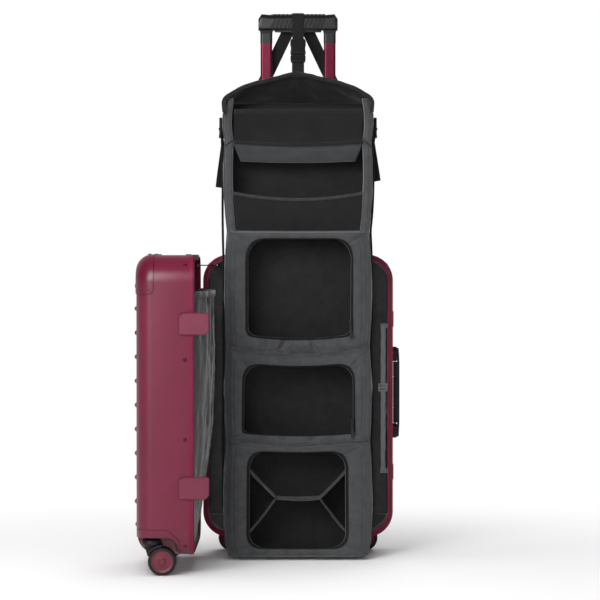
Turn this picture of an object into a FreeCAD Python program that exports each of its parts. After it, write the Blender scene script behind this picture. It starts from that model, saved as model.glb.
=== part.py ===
import FreeCAD
import Part
import math
import os

# Carry-on suitcase standing open, with its shelf organiser hung from the raised handle. Millimetres, Z up.
# Everything is drawn about the rear half: X = 0 is its mid-plane, Y = 0 the rim plane, Z = 0 the floor.
# The lid is drawn closed (Y below 0) and then swung open about the hinge line.
# Last, all is moved so that the origin is on the floor under the middle of the opened case.

Vector = FreeCAD.Vector
X_AXIS = Vector(1, 0, 0)
Y_AXIS = Vector(0, 1, 0)
Z_AXIS = Vector(0, 0, 1)
TINY = 1e-6

# Case
CASE_WIDTH = 352.0
CASE_TOP = 560.0
SHELL_BOTTOM = 35.0
LID_DEPTH = 99.4
REAR_DEPTH = 125.0
CORNER_RADIUS = 47.0
EDGE_RADIUS = 28.0
SHELL_WALL = 2.5
RIB_COUNT = 11
RIB_PITCH = 42.2
RIB_WIDTH = 9.4
RIB_HEIGHT = 3.6
GUARD_ALONG = 68.0
GUARD_DEEP = 31.0
GUARD_LAP = 22.0
GUARD_CHAMFER = 7.0
GUARD_PROUD = 1.5
GUARD_GROOVE = 1.2

# Rim frame
BAND_DEPTH = 6.5
BAND_WIDTH = 9.5
BAND_PROUD = 0.8
LEG_DEPTH = 20.0
LEG_WALL = 1.6
TONGUE_WIDTH = 1.8
TONGUE_HEIGHT = 2.4
GROOVE_SLACK = 0.4
SEAL_HEIGHT = 0.8
RIVET_RADIUS = 3.4
RIVET_HEIGHT = 1.9
RIVET_INSET = 13.5
RIVET_STEPS = (-59.0, 80.0)
RIVET_ANGLE = 39.0

# Lining
LINING_WALL = 1.2
BACK_PANEL_Y = 76.0
BACK_PANEL_WALL = 2.0
DIVIDER_TOP = 496.0
DIVIDER_BULGE = 32.0
DIVIDER_WALL = 3.0
# share of the bulge, and how far in from the sides, the foot and the top edge it is reached
DIVIDER_CROWN = ((0.0, 0.0, 0.0, 0.0), (0.25, 4.0, 40.0, 0.5), (0.5, 12.0, 112.0, 1.0),
                 (0.85, 32.0, 190.0, 3.0), (1.0, 62.0, 250.0, 6.0))
DIVIDER_ROUND = 12.0

# Hinges, on the wall at -X
HINGE_OFFSET = 7.0
HINGE_LENGTH = 60.0
HINGE_SPREAD = 118.0
KNUCKLE_RADIUS = 5.0
REAR_KNUCKLES = ((0.0, 0.33), (0.67, 1.0))
LID_KNUCKLES = ((0.33, 0.67),)
PIN_RADIUS = 2.0
LEAF_WALL = 1.7
LEAF_REACH = 22.0
LEAF_ROUND = 8.0
PIN_HEAD = 1.2
PIN_HEAD_RADIUS = 4.0
RUNNING_GAP = 0.3

# Draw latches, on the wall at +X
LATCH_SPREAD = 143.0
LATCH_LENGTH = 54.0
LATCH_HEIGHT = 39.0
LATCH_OVER_LID = 25.0
LATCH_CLEAR = 3.4
LATCH_PLATE = 4.2
LATCH_CHAMFER = 7.0
LATCH_BEVEL = 1.8
LATCH_ROUND = 3.2
LATCH_PIN_RADIUS = 1.3
LATCH_BARREL = 2.7
LATCH_CHEEK = 4.0
LATCH_HOOK = 3.5
LATCH_HOOK_INSET = 1.0
LATCH_BASE_WALL = 0.4
KEEPER_WALL = 0.5
KEEPER_GAP = 0.4
KEEPER_LAND = 1.6
KEEPER_RAMP = 4.0
KEEPER_INSET = 5.0
PLATE_MARGIN = 1.0

# Lid stay
STAY_EYE = 3.6
STAY_RISE = 28.0
STAY_RADIUS = 1.1

# Casters
WHEEL_RADIUS = 24.5
HUB_RADIUS = 19.8
WHEEL_WIDTH = 13.0
FORK_WEB = 9.0
TRAIL = 19.0
FENDER_LIFT = 1.5
FENDER_GAP = 1.6
FENDER_WALL = 3.2
FENDER_SIDE = 1.0
WHEEL_GAP = 0.7
TYRE_ROUND = 2.6
WEB_BOSS = 7.0
WEB_HALF = 13.5
WEB_TOP = 56.0
WEB_ROUND = 6.0
# swivel head, turned from (radius, height, bend) corners
HEAD_PROFILE = ((0.0, 50.0, 0.0), (14.0, 50.0, 4.0), (18.5, 55.0, 6.0), (17.0, 62.0, 5.0), (10.0, 65.0, 1.0))
# outer face of a hub: out from the tyre's face, radius, bend
HUB_FACE = ((-1.0, HUB_RADIUS, 0.6), (-2.2, 15.0, 3.0), (-1.4, 7.0, 3.0), (0.4, 5.0, 1.0), (0.4, 0.0, 0.0))
AXLE_RADIUS = 2.5
SWIVEL_FROM_SIDE = 31.0
SWIVEL_FROM_FACE = 26.0
SWIVEL_PIN_RADIUS = 4.0
POCKET_RADIUS = 47.0
POCKET_TOP = 67.0
POCKET_ROUND = 20.0
HOUSING_TOP = 81.0
HOUSING_ALONG = 82.0
HOUSING_DEEP = 76.0
HOUSING_CHAMFER = 20.5
HOUSING_WALL = 3.0
SEAM = 0.8

# Telescopic handle
TUBE_SPACING = 120.0
TUBE_Y = 98.0
TUBE_SIZE = (22.0, 12.0)
TUBE_WALL = 1.1
TUBE_GAP = 0.3
TUBE_ROUND = 4.0
TUBE_GROOVE = 0.6
GRIP_TOP = 1016.0
GRIP_BOTTOM = 985.0
GRIP_LENGTH = 150.0
GRIP_DEPTH = 28.0
COLLAR_HEIGHT = 24.0
HANDLE_TRAVEL = 453.0
COLLAR_GAP = 1.5
COLLAR_WALL = 0.4
COLLAR_FLARE = 1.8
GRIP_LOW_ROUND = 5.0
GRIP_TOP_ROUND = 9.0
GRIP_TAPER = 2.0
# top of the grip: in from its end, sunk by
GRIP_CROWN = ((0.0, 9.0), (6.0, 0.0), (24.0, 1.6))
TUBE_OVERLAP = 73.0
OUTER_TUBE_FOOT = 72.0
TRAY_DEPTH = 34.0
TRAY_WALL = 2.0
TRAY_MARGIN = 6.0
TRAY_FLANGE = 2.5
TRAY_FLANGE_WALL = 1.6
SOCKET_DEPTH = 18.0
SOCKET_FLOOR = 3.0
SOCKET_WALL = 2.0
RELEASE_LENGTH = 88.0
RELEASE_TRAVEL = 4.0
RELEASE_DROP = 3.0
RELEASE_RISE = 6.0

# Carry handles
CARRY_LENGTH = 171.0
CARRY_WIDTH = 26.0
CARRY_RISE = 14.6
CARRY_GRIP = 7.4
CARRY_PLATE = 2.0
CARRY_MOUNT = 27.0
CARRY_MOUNT_HEIGHT = 10.2
CARRY_TRAVEL = 6.0
CARRY_GAP = 0.5
CARRY_EDGE = 1.0
CARRY_BEND = 6.0
CUP_ROUND = 7.0
CUP_EDGE = 2.5
FOOT_LEVEL = 0.4
FOOT_WALL = 2.0
SIDE_HANDLE_Y = 52.0
SIDE_HANDLE_Z = 302.0
TOP_HANDLE_Y = 42.0

# Packing strap, slider and side feet
PACKING_INSET = 23.0
PACKING_ENDS = (-142.0, 132.0)
PACKING_TURN = 10.0
SLIDER_LEVEL = 8.0
SLIDER_HEIGHT = 15.0
SLIDER_RAIL = 3.0
SLIDER_BAR = 2.5
SLIDER_WINDOW = 4.0
SLIDER_SLACK = 0.2
FEET_RADIUS = 11.0
FEET_TOP = 8.5
FEET_SPREAD = 190.0
FEET_CLEAR = 2.0
FEET_DEPTH = 75.0

# Organiser
FABRIC = 2.0
ORG_HALF = 134.0
ORG_FRONT = -94.0
ORG_BACK = -3.0
ORG_FOOT = 4.0
ORG_BEND = 575.0
ORG_SHOULDER = 846.0
ORG_PEAK = 901.0
ORG_LEAN = 80.0
HOOD_TILT = 41.0
HOOD_LAP = 9.0
HOOD_CORNER = 867.0
HOOD_ROUND = 20.0
HOOD_RIDGE_ROUND = 60.0
HOOD_FALL = 52.0
HOOD_BINDING = 8.0
SHELF_LEVELS = (ORG_FOOT, 219.0, 392.0, 604.0, 770.0)
FRONT_OPENINGS = ((-95.0, 88.0, 24.0, 206.0, 26.0),
                  (-103.0, 98.0, 238.0, 366.0, 32.0),
                  (-93.0, 94.0, 414.0, 590.0, 34.0))
VALANCE_DROP = 34.0
STRETCH_TOP = 62.0
NET_TOP = 56.0
ORG_ROUND = 10.0
INNER_WEB = 42.0

# Webbing, buckles and zip pulls of the organiser
WEBBING = 22.0
WEBBING_WALL = 1.6
STRAP_GAP = 0.5
STRAP_SINK = 3.0
STRAP_MEETS_GRIP = 10.0
STRAP_BACK_END = 4.0
# how the strap rounds the grip's top edges: in from its face, below its top
LOOP_CORNER = ((0.0, 10.0), (4.0, 2.0), (9.0, 0.0))
TAIL_HEAD = (14.0, 12.0)
TAIL_FOOT = (90.0, -12.0)
TAIL_SLANT = 1.12
# shares of the hanging strap where the buckle starts and ends
BUCKLE_SPAN = (0.22, 0.71)
BUCKLE_HALF = 4.5
BUCKLE_RIM = 4.0
BUCKLE_SLOT = 2.6
BUCKLE_TAPER = 2.0
# shares of the buckle's length: base, socket, windows, throat and tongue
BASE_END = 0.34
SOCKET_START = 0.38
WINDOW_SPAN = (0.52, 0.8)
THROAT_SPAN = (0.3, 0.84)
TONGUE_SPAN = (0.3, 0.78)
TONGUE_HALF = 3.0
# prong outline: out from the middle, share of the length
PRONG = ((5.0, 0.3), (8.5, 0.3), (10.5, 0.66), (8.5, 0.78), (5.5, 0.6))
SIDE_STRAP_TOP = 36.0
SIDE_STRAP_FOOT = 90.0
LOCK_DROP = 16.0
LOCK_HEIGHT = 20.0
LOCK_DEPTH = 6.5
LOCK_SLOT = 4.4
LOCK_RIM = 3.0
LOCK_ROUND = 1.5
LOCK_BITE = 14.0
LOOSE_LENGTH = 104.0
LOOSE_SWING = 6.0
# width, height and depth of a zip's slider and of its pull tab
ZIP_SLIDER = (7.0, 11.0, 3.2)
ZIP_TAB = (5.0, 19.0, 1.4)
ZIP_LIFT = 12.0
ZIP_LAP = 3.0
ZIP_GAP = 0.2
ZIP_ROUND = 1.5

HALF = CASE_WIDTH / 2
MIDDLE = (CASE_TOP + SHELL_BOTTOM) / 2
HINGE_X = -HALF - HINGE_OFFSET
LID_OPEN = -90.0
LINING_INSET = SHELL_WALL + LEG_WALL
STAGE = TUBE_WALL + TUBE_GAP
TRAY_FLOOR = CASE_TOP - TRAY_DEPTH
MID_TUBE_TOP = GRIP_BOTTOM - COLLAR_HEIGHT - COLLAR_GAP - HANDLE_TRAVEL / 2
MID_TUBE_FOOT = TRAY_FLOOR - TRAY_WALL - TUBE_OVERLAP
INNER_TUBE_FOOT = MID_TUBE_TOP - TUBE_OVERLAP
REACH_LEFT = HINGE_X - LID_DEPTH - RIB_HEIGHT
REACH_RIGHT = HALF + CARRY_RISE
REACH_NEAR = HINGE_X - HALF - LATCH_CLEAR - LATCH_PLATE
REACH_FAR = REAR_DEPTH + RIB_HEIGHT
TO_ORIGIN = Vector(-(REACH_LEFT + REACH_RIGHT) / 2, -(REACH_NEAR + REACH_FAR) / 2, 0)


def unit(vector):
    length = vector.Length
    return Vector(vector.x / length, vector.y / length, vector.z / length)


def outline(corners, place):
    """Closed wire through corners (u, v, radius); place turns u, v into a point."""
    points = [Vector(u, v, 0) for u, v, _ in corners]
    bends = []
    for i, (_, _, radius) in enumerate(corners):
        here = points[i]
        back = unit(points[i - 1] - here)
        ahead = unit(points[(i + 1) % len(points)] - here)
        if radius:
            half = back.getAngle(ahead) / 2
            middle = unit(back + ahead)
            cut = radius / math.tan(half)
            bulge = here + middle * (radius / math.sin(half) - radius)
            bends.append((here + back * cut, bulge, here + ahead * cut))
        else:
            bends.append((here, None, here))
    spots = [tuple(p and place(p.x, p.y) for p in bend) for bend in bends]
    edges = []
    for i, (start, bulge, end) in enumerate(spots):
        if bulge:
            edges.append(Part.Arc(start, bulge, end).toShape())
        following = spots[(i + 1) % len(spots)][0]
        if end.distanceToPoint(following) > TINY:
            edges.append(Part.LineSegment(end, following).toShape())
    return Part.Wire(edges)


def prism_x(corners, low, high):
    """Corners are (y, z, radius)."""
    return Part.Face(outline(corners, lambda u, v: Vector(low, u, v))).extrude(X_AXIS * (high - low))


def prism_y(corners, low, high):
    """Corners are (x, z, radius)."""
    return Part.Face(outline(corners, lambda u, v: Vector(u, low, v))).extrude(Y_AXIS * (high - low))


def prism_z(corners, low, high):
    """Corners are (x, y, radius)."""
    return Part.Face(outline(corners, lambda u, v: Vector(u, v, low))).extrude(Z_AXIS * (high - low))


def rectangle(u0, u1, v0, v1, radius=0.0):
    return [(u0, v0, radius), (u1, v0, radius), (u1, v1, radius), (u0, v1, radius)]


def box(x0, x1, y0, y1, z0, z1):
    return prism_z(rectangle(x0, x1, y0, y1), z0, z1)


def upright(x, y, radius, low, high):
    return Part.makeCylinder(radius, high - low, Vector(x, y, low), Z_AXIS)


def revolved(profile, x, y):
    """Solid turned about the vertical line through x, y from (radius, z, bend) corners."""
    face = Part.Face(outline(profile, lambda u, v: Vector(x + u, y, v)))
    return face.revolve(Vector(x, y, 0), Z_AXIS, 360)


def joined(shapes):
    return shapes[0].multiFuse(shapes[1:]).removeSplitter() if len(shapes) > 1 else shapes[0]


def mirrored_x(shape):
    return shape.mirror(Vector(0, 0, 0), X_AXIS)


def mirrored_y(shape):
    return shape.mirror(Vector(0, 0, 0), Y_AXIS)


def both_sides(shape):
    return Part.makeCompound([shape, mirrored_x(shape)])


def opened(shape):
    """A lid piece, swung from closed to the open pose."""
    return shape.rotated(Vector(HINGE_X, 0, 0), Z_AXIS, LID_OPEN)


def swung(x, y):
    """Where a point of the closed lid stands when the lid is open."""
    return HINGE_X + y, HINGE_X - x


# Shells, drawn with the outer face towards -Y


def case_block(depth, grow=0.0):
    """Solid block of one half, grown outwards by grow, with its mouth at Y = 0."""
    side = HALF + grow
    face = -depth - grow
    corners = rectangle(-side, side, SHELL_BOTTOM - grow, CASE_TOP + grow, CORNER_RADIUS + grow)
    block = prism_y(corners, 0, face)
    rounded = [e for e in block.Edges if all(abs(v.Y - face) < TINY for v in e.Vertexes)]
    return block.makeFillet(EDGE_RADIUS + grow, rounded)


def skin(depth, outside, inside):
    return case_block(depth, outside).cut(case_block(depth, inside))


def behind(depth, start):
    """Everything of a half that lies deeper than start."""
    reach = CASE_TOP
    return box(-reach, reach, -depth - reach, -start, -reach, 2 * reach)


def housing_block(depth, grow):
    """Region of the wheel housing at the +X corner: a chamfered corner block."""
    top = HOUSING_TOP + grow
    inner = HALF - HOUSING_ALONG - grow
    rim = HOUSING_DEEP - depth + grow
    low = SHELL_BOTTOM - 2 * POCKET_ROUND
    out = 2 * HALF
    side_view = [(-out, low, 0), (-out, top, 0), (rim - HOUSING_CHAMFER, top, 0),
                 (rim, top - HOUSING_CHAMFER, 0), (rim, low, 0)]
    front_view = [(out, low, 0), (out, top, 0), (inner + HOUSING_CHAMFER, top, 0),
                  (inner, top - HOUSING_CHAMFER, 0), (inner, low, 0)]
    return prism_x(side_view, 0, out).common(prism_y(front_view, -out, 0))


def swivel_spot(depth):
    return HALF - SWIVEL_FROM_SIDE, SWIVEL_FROM_FACE - depth


def swivel_pin_foot():
    return POCKET_TOP - 4 * HOUSING_WALL


def caster_pocket(depth, grow):
    """Room for the caster to turn in: round towards the inside, open to the corner."""
    x, y = swivel_spot(depth)
    radius = POCKET_RADIUS + grow
    out = 2 * POCKET_RADIUS
    top = POCKET_TOP + grow
    plan = [(x - radius, y - out, 0), (x + out, y - out, 0), (x + out, y + radius, 0),
            (x - radius, y + radius, radius)]
    room = prism_z(plan, 0, top)
    inner = [e for e in room.Edges if all(abs(v.Z - top) < TINY for v in e.Vertexes)
             and e.BoundBox.XMin < x + grow + POCKET_ROUND and e.BoundBox.YMax > y - grow - POCKET_ROUND]
    return room.makeFillet(POCKET_ROUND + grow, inner)


def wheel_housing(depth):
    """Moulded corner piece with the caster pocket, a lip behind the shell and the swivel pin."""
    block = case_block(depth)
    shell = skin(depth, 0, -SHELL_WALL).common(housing_block(depth, 0))
    lip_wall = skin(depth, -SHELL_WALL, -SHELL_WALL - LEG_WALL)
    lip = lip_wall.common(housing_block(depth, 4 * HOUSING_WALL)).common(behind(depth, LEG_DEPTH + SEAM))
    well = caster_pocket(depth, HOUSING_WALL).common(block)
    x, y = swivel_spot(depth)
    pin = upright(x, y, SWIVEL_PIN_RADIUS, swivel_pin_foot(), POCKET_TOP + HOUSING_WALL / 2)
    return joined([shell, lip, well]).cut(caster_pocket(depth, 0)).fuse(pin)


def ribs(depth):
    """Pressed ribs across the outer face, round in section and at the ends."""
    radius = (RIB_WIDTH ** 2 / 4 + RIB_HEIGHT ** 2) / (2 * RIB_HEIGHT)
    line = radius - RIB_HEIGHT - depth
    bars = []
    for i in range(RIB_COUNT):
        step = i - (RIB_COUNT - 1) / 2
        z = MIDDLE + step * RIB_PITCH
        reach = HALF - EDGE_RADIUS - RIB_WIDTH
        if abs(step) == (RIB_COUNT - 1) / 2:
            reach = HALF - CORNER_RADIUS - RIB_WIDTH
        bar = Part.makeCylinder(radius, 2 * reach, Vector(-reach, line, z), X_AXIS)
        ends = [Part.makeSphere(radius, Vector(x, line, z)) for x in (-reach, reach)]
        bars.append(joined([bar] + ends).common(behind(0, depth)))
    return bars


def half_shell(depth):
    """One polycarbonate half with its ribs, cut away for the wheel housings."""
    shell = skin(depth, 0, -SHELL_WALL).common(behind(depth, BAND_DEPTH))
    room = housing_block(depth, SEAM)
    body = joined([shell.cut(room).cut(mirrored_x(room))] + ribs(depth))
    groove = guard_groove(depth)
    return body.cut(groove).cut(mirrored_x(groove))


def guard_region(depth, grow):
    """Region of the cap over the +X top corner, with chamfered ends."""
    out = 2 * CASE_TOP
    low = CASE_TOP - GUARD_ALONG - grow
    inner = HALF - GUARD_ALONG - grow
    rim = GUARD_DEEP - depth + grow
    lap = GUARD_LAP + grow
    front_view = [(out, low, 0), (out, out, 0), (inner, out, 0), (inner, CASE_TOP - lap, 0),
                  (HALF - lap, low, 0)]
    side_view = [(-out, low, 0), (rim - GUARD_CHAMFER, low, 0), (rim, low + GUARD_CHAMFER, 0),
                 (rim, out, 0), (-out, out, 0)]
    plan = [(inner, -out, 0), (out, -out, 0), (out, rim, 0), (inner + GUARD_CHAMFER, rim, 0),
            (inner, rim - GUARD_CHAMFER, 0)]
    return prism_y(front_view, -out, 0).common(prism_x(side_view, 0, out)).common(prism_z(plan, 0, out))


def corner_guard(depth):
    return skin(depth, GUARD_PROUD, 0).common(guard_region(depth, 0))


def guard_groove(depth):
    """Shallow groove in the shell round the guard's edge."""
    border = guard_region(depth, GUARD_GROOVE).cut(guard_region(depth, 0))
    return skin(depth, GUARD_PROUD, -SHELL_WALL / 2).common(border)


def rim_ring(outside, inside, y0, y1):
    """Ring that follows the rim, between two offsets from the shell's outer face."""
    rings = []
    for grow in (outside, inside):
        side = HALF + grow
        corners = rectangle(-side, side, SHELL_BOTTOM - grow, CASE_TOP + grow, CORNER_RADIUS + grow)
        rings.append(prism_y(corners, y0, y1))
    return rings[0].cut(rings[1])


def rim_frame():
    """Frame section of one half: band at the rim and a leg inside the shell wall."""
    band = rim_ring(BAND_PROUD, BAND_PROUD - BAND_WIDTH, 0, -BAND_DEPTH)
    leg = rim_ring(-SHELL_WALL, -SHELL_WALL - LEG_WALL, -BAND_DEPTH, -LEG_DEPTH)
    return band.fuse(leg)


def groove_offset():
    return BAND_PROUD - BAND_WIDTH / 2


def rim_groove(height):
    half = TONGUE_WIDTH / 2 + GROOVE_SLACK
    return rim_ring(groove_offset() + half, groove_offset() - half, 0, -height)


def lid_frame():
    half = TONGUE_WIDTH / 2
    tongue = rim_ring(groove_offset() + half, groove_offset() - half, 0, TONGUE_HEIGHT)
    return rim_frame().fuse(tongue)


def rear_frame():
    return rim_frame().cut(rim_groove(TONGUE_HEIGHT + GROOVE_SLACK + SEAL_HEIGHT))


def rim_seal():
    bottom = TONGUE_HEIGHT + GROOVE_SLACK
    return rim_groove(bottom + SEAL_HEIGHT).cut(rim_groove(bottom))


def rim_rivets(depth):
    """Domed rivet heads round the rim, seated on the shell."""
    angle = math.radians(RIVET_ANGLE)
    across = CORNER_RADIUS * math.cos(angle)
    up = CORNER_RADIUS * math.sin(angle)
    middle_x = HALF - CORNER_RADIUS
    low = SHELL_BOTTOM + CORNER_RADIUS
    high = CASE_TOP - CORNER_RADIUS
    spots = []
    for side in (-1, 1):
        spots += [(side * HALF, MIDDLE + step) for step in RIVET_STEPS]
        spots += [(side * middle_x / 2, z) for z in (SHELL_BOTTOM, CASE_TOP)]
        spots += [(side * (middle_x + across), z) for z in (high + up, low - up)]
    radius = (RIVET_RADIUS ** 2 + RIVET_HEIGHT ** 2) / (2 * RIVET_HEIGHT)
    block = case_block(depth)
    heads = []
    for x, z in spots:
        core = Vector(min(max(x, -middle_x), middle_x), -RIVET_INSET, min(max(z, low), high))
        seat = Vector(x, -RIVET_INSET, z)
        centre = seat + unit(core - seat) * (radius - RIVET_HEIGHT)
        heads.append(Part.makeSphere(radius, centre).cut(block))
    return Part.makeCompound(heads)


def lining(depth, start, end):
    """Cloth lining a little inside the shell, from start to end behind the rim."""
    tub = skin(depth, -LINING_INSET, -LINING_INSET - LINING_WALL)
    room = caster_pocket(depth, HOUSING_WALL + LINING_WALL)
    cloth = tub.common(behind(depth, start)).cut(behind(depth, end))
    return cloth.cut(room).cut(mirrored_x(room))


def back_panel():
    """Flat cloth panel sewn to the lining's edge, in front of the handle tubes."""
    side = HALF - LINING_INSET
    low = SHELL_BOTTOM + LINING_INSET
    high = CASE_TOP - LINING_INSET
    corners = rectangle(-side, side, low, high, CORNER_RADIUS - LINING_INSET)
    panel = prism_y(corners, -BACK_PANEL_Y, -BACK_PANEL_Y - BACK_PANEL_WALL)
    room = caster_pocket(REAR_DEPTH, HOUSING_WALL + LINING_WALL)
    return panel.cut(room).cut(mirrored_x(room))


def crowned_block(shrink):
    """Crowned block in the lid's mouth, shrunk by shrink, with a straight skirt inside the band."""
    edge = BAND_WIDTH - BAND_PROUD + shrink
    foot_round = CORNER_RADIUS - edge
    sections = []
    for share, inset, foot, top in DIVIDER_CROWN:
        side = HALF - edge - inset
        low = SHELL_BOTTOM + edge + foot
        high = DIVIDER_TOP - shrink - top
        corners = [(-side, low, foot_round), (side, low, foot_round), (side, high, DIVIDER_ROUND),
                   (-side, high, DIVIDER_ROUND)]
        y = (DIVIDER_BULGE - shrink) * share
        sections.append(outline(corners, lambda u, v, y=y: Vector(u, y, v)))
    skirt = Part.Face(sections[0]).extrude(Y_AXIS * (-BAND_DEPTH / 2))
    return skirt.fuse(Part.makeLoft(sections, True, True))


def divider_panel():
    """Padded cloth divider across the lid's mouth, seated on the band and open behind."""
    return crowned_block(0).cut(crowned_block(DIVIDER_WALL))


# Hinges and latches


def hinge_levels():
    return MIDDLE - HINGE_SPREAD, MIDDLE + HINGE_SPREAD


def hinge_leaf(level, parts, outward):
    """Leaf along one half's wall with its knuckles; parts are (from, to) shares of the length."""
    low = level - HINGE_LENGTH / 2
    high = low + HINGE_LENGTH
    wall = -HALF - BAND_PROUD
    root = outward * (KNUCKLE_RADIUS + RUNNING_GAP)
    tip = outward * LEAF_REACH
    corners = [(root, low, 0), (tip, low, LEAF_ROUND), (tip, high, LEAF_ROUND), (root, high, 0)]
    pieces = [prism_x(corners, wall - LEAF_WALL, wall)]
    for start, end in parts:
        z0 = low + start * HINGE_LENGTH + RUNNING_GAP
        z1 = low + end * HINGE_LENGTH - RUNNING_GAP
        pieces.append(upright(HINGE_X, 0, KNUCKLE_RADIUS, z0, z1))
        pieces.append(box(wall - LEAF_WALL, wall, min(0, root), max(0, root), z0, z1))
    bore = upright(HINGE_X, 0, PIN_RADIUS + RUNNING_GAP / 3, low, high)
    return joined(pieces).cut(bore)


def hinge_pin(level):
    low = level - HINGE_LENGTH / 2
    high = low + HINGE_LENGTH
    pin = upright(HINGE_X, 0, PIN_RADIUS, low - PIN_HEAD / 2, high + PIN_HEAD / 2)
    heads = [upright(HINGE_X, 0, PIN_HEAD_RADIUS, z, z + PIN_HEAD) for z in (low - PIN_HEAD, high)]
    return joined([pin] + heads)


def latch_levels():
    return MIDDLE - LATCH_SPREAD, MIDDLE + LATCH_SPREAD


def latch_axis():
    return HALF + LATCH_CLEAR, LATCH_BARREL - LATCH_OVER_LID


def latch_tip():
    """How far past the rim a shut lever reaches over the rear half."""
    return LATCH_LENGTH - LATCH_OVER_LID


def latch_lever(level):
    """Flip lever drawn shut over the rim: chamfered plate, barrel and hook lip."""
    low = level - LATCH_HEIGHT / 2
    high = level + LATCH_HEIGHT / 2
    start = -LATCH_OVER_LID
    end = latch_tip()
    x0 = HALF + LATCH_CLEAR
    corners = [(start, low, LATCH_ROUND), (end - LATCH_CHAMFER, low, 0), (end, low + LATCH_CHAMFER, 0),
               (end, high, LATCH_ROUND), (start + LATCH_CHAMFER, high, 0), (start, high - LATCH_CHAMFER, 0)]
    plate = prism_x(corners, x0, x0 + LATCH_PLATE)
    rim = [e for e in plate.Edges if all(abs(v.X - x0 - LATCH_PLATE) < TINY for v in e.Vertexes)]
    plate = plate.makeChamfer(LATCH_BEVEL, rim)
    x, y = latch_axis()
    inner = (level - LATCH_HEIGHT / 4, level + LATCH_HEIGHT / 4)
    barrel = upright(x, y, LATCH_BARREL, *inner)
    hook = end - LATCH_HOOK_INSET
    lip = box(HALF + BAND_PROUD + RUNNING_GAP, x0, hook - LATCH_HOOK, hook, *inner)
    bore = upright(x, y, LATCH_PIN_RADIUS + RUNNING_GAP / 3, low, high)
    body = joined([plate, barrel, lip]).cut(bore)
    for a, b in ((low + LATCH_CHEEK, inner[0]), (inner[1], high - LATCH_CHEEK)):
        notch = box(x0, x0 + 2 * LATCH_PLATE, start, y, a, b)
        body = body.cut(upright(x, y, LATCH_BARREL + RUNNING_GAP, a, b)).cut(notch)
    return body


def latch_base(level):
    """Base plate on the lid's wall with two lugs that hold the lever's pin."""
    x, y = latch_axis()
    half = LATCH_HEIGHT / 2 - LATCH_CHEEK - RUNNING_GAP
    inner = LATCH_HEIGHT / 4 + RUNNING_GAP
    foot = y - LATCH_BARREL
    pieces = [box(HALF, HALF + LATCH_BASE_WALL, foot, -BAND_DEPTH - PLATE_MARGIN, level - half, level + half)]
    for a, b in ((level - half, level - inner), (level + inner, level + half)):
        pieces.append(upright(x, y, LATCH_BARREL, a, b))
        pieces.append(box(HALF, x, foot, y + LATCH_BARREL, a, b))
    pieces.append(upright(x, y, LATCH_PIN_RADIUS, level - half, level + half))
    return joined(pieces)


def latch_keeper(level):
    """Ridge on the rear half that the hook lip draws against."""
    low = level - LATCH_HEIGHT / 2 + KEEPER_INSET
    high = level + LATCH_HEIGHT / 2 - KEEPER_INSET
    face = latch_tip() - LATCH_HOOK_INSET - LATCH_HOOK - KEEPER_GAP
    land = face - KEEPER_LAND
    top = HALF + LATCH_CLEAR - 2 * RUNNING_GAP
    plate = box(HALF, HALF + KEEPER_WALL, BAND_DEPTH + PLATE_MARGIN, latch_tip() + KEEPER_RAMP, low, high)
    ridge = prism_z([(HALF, land - KEEPER_RAMP, 0), (top, land, KEEPER_GAP), (top, face, KEEPER_GAP),
                     (HALF, face, 0)], low, high)
    return joined([plate, ridge])


def lid_stay():
    """Slim bar with an eye on each frame that stops the lid a right angle open."""
    reach = CORNER_RADIUS + BAND_PROUD - BAND_WIDTH - STAY_EYE
    x = CORNER_RADIUS - HALF - math.sqrt(reach ** 2 - STAY_RISE ** 2)
    z = CASE_TOP - CORNER_RADIUS + STAY_RISE
    near = Vector(*swung(x, -STAY_EYE), z)
    far = Vector(x, STAY_EYE, z)
    bar = Part.makeCylinder(STAY_RADIUS, (far - near).Length, near, far - near)
    return joined([bar] + [Part.makeSphere(STAY_EYE, end) for end in (near, far)])


# Casters, drawn at the origin with the wheel trailing to +X


def caster_fork():
    """Swivel head with a fender over the wheels and a web down to the axle."""
    top = POCKET_TOP - RUNNING_GAP
    neck = HEAD_PROFILE[-1][0]
    head = revolved(list(HEAD_PROFILE) + [(neck, top, 0), (0, top, 0)], 0, 0)
    web_half = FORK_WEB / 2
    half = web_half + WHEEL_WIDTH + FENDER_SIDE
    inner = WHEEL_RADIUS + FENDER_GAP
    start = Vector(TRAIL, -half, WHEEL_RADIUS)
    ring = Part.makeCylinder(inner + FENDER_WALL, 2 * half, start, Y_AXIS)
    ring = ring.cut(Part.makeCylinder(inner, 2 * half, start, Y_AXIS))
    high = 3 * WHEEL_RADIUS
    wedge = prism_y([(TRAIL, WHEEL_RADIUS, 0), (TRAIL, high, 0), (-2 * TRAIL, high, 0),
                     (-2 * TRAIL, WHEEL_RADIUS + FENDER_LIFT * TRAIL, 0)], -half, half)
    low = WHEEL_RADIUS - WEB_BOSS
    web = prism_y([(TRAIL - WEB_BOSS, low, WEB_ROUND), (TRAIL + WEB_BOSS, low, WEB_ROUND),
                   (TRAIL + WEB_BOSS, low + 2 * WEB_ROUND, WEB_ROUND), (WEB_HALF, WEB_TOP, 0),
                   (-WEB_HALF, WEB_TOP, 0), (-WEB_HALF / 2, HUB_RADIUS + WEB_HALF, WEB_ROUND)],
                  -web_half, web_half)
    body = joined([head, ring.common(wedge), web])
    for y in (web_half, -half):
        wheel = Part.makeCylinder(inner, half - web_half, Vector(TRAIL, y, WHEEL_RADIUS), Y_AXIS)
        body = body.cut(wheel)
    slack = RUNNING_GAP / 3
    pin_hole = upright(0, 0, SWIVEL_PIN_RADIUS + slack, swivel_pin_foot() - FENDER_SIDE, POCKET_TOP)
    axle_hole = Part.makeCylinder(AXLE_RADIUS + slack, 2 * half, start, Y_AXIS)
    return body.cut(pin_hole).cut(axle_hole)


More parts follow.
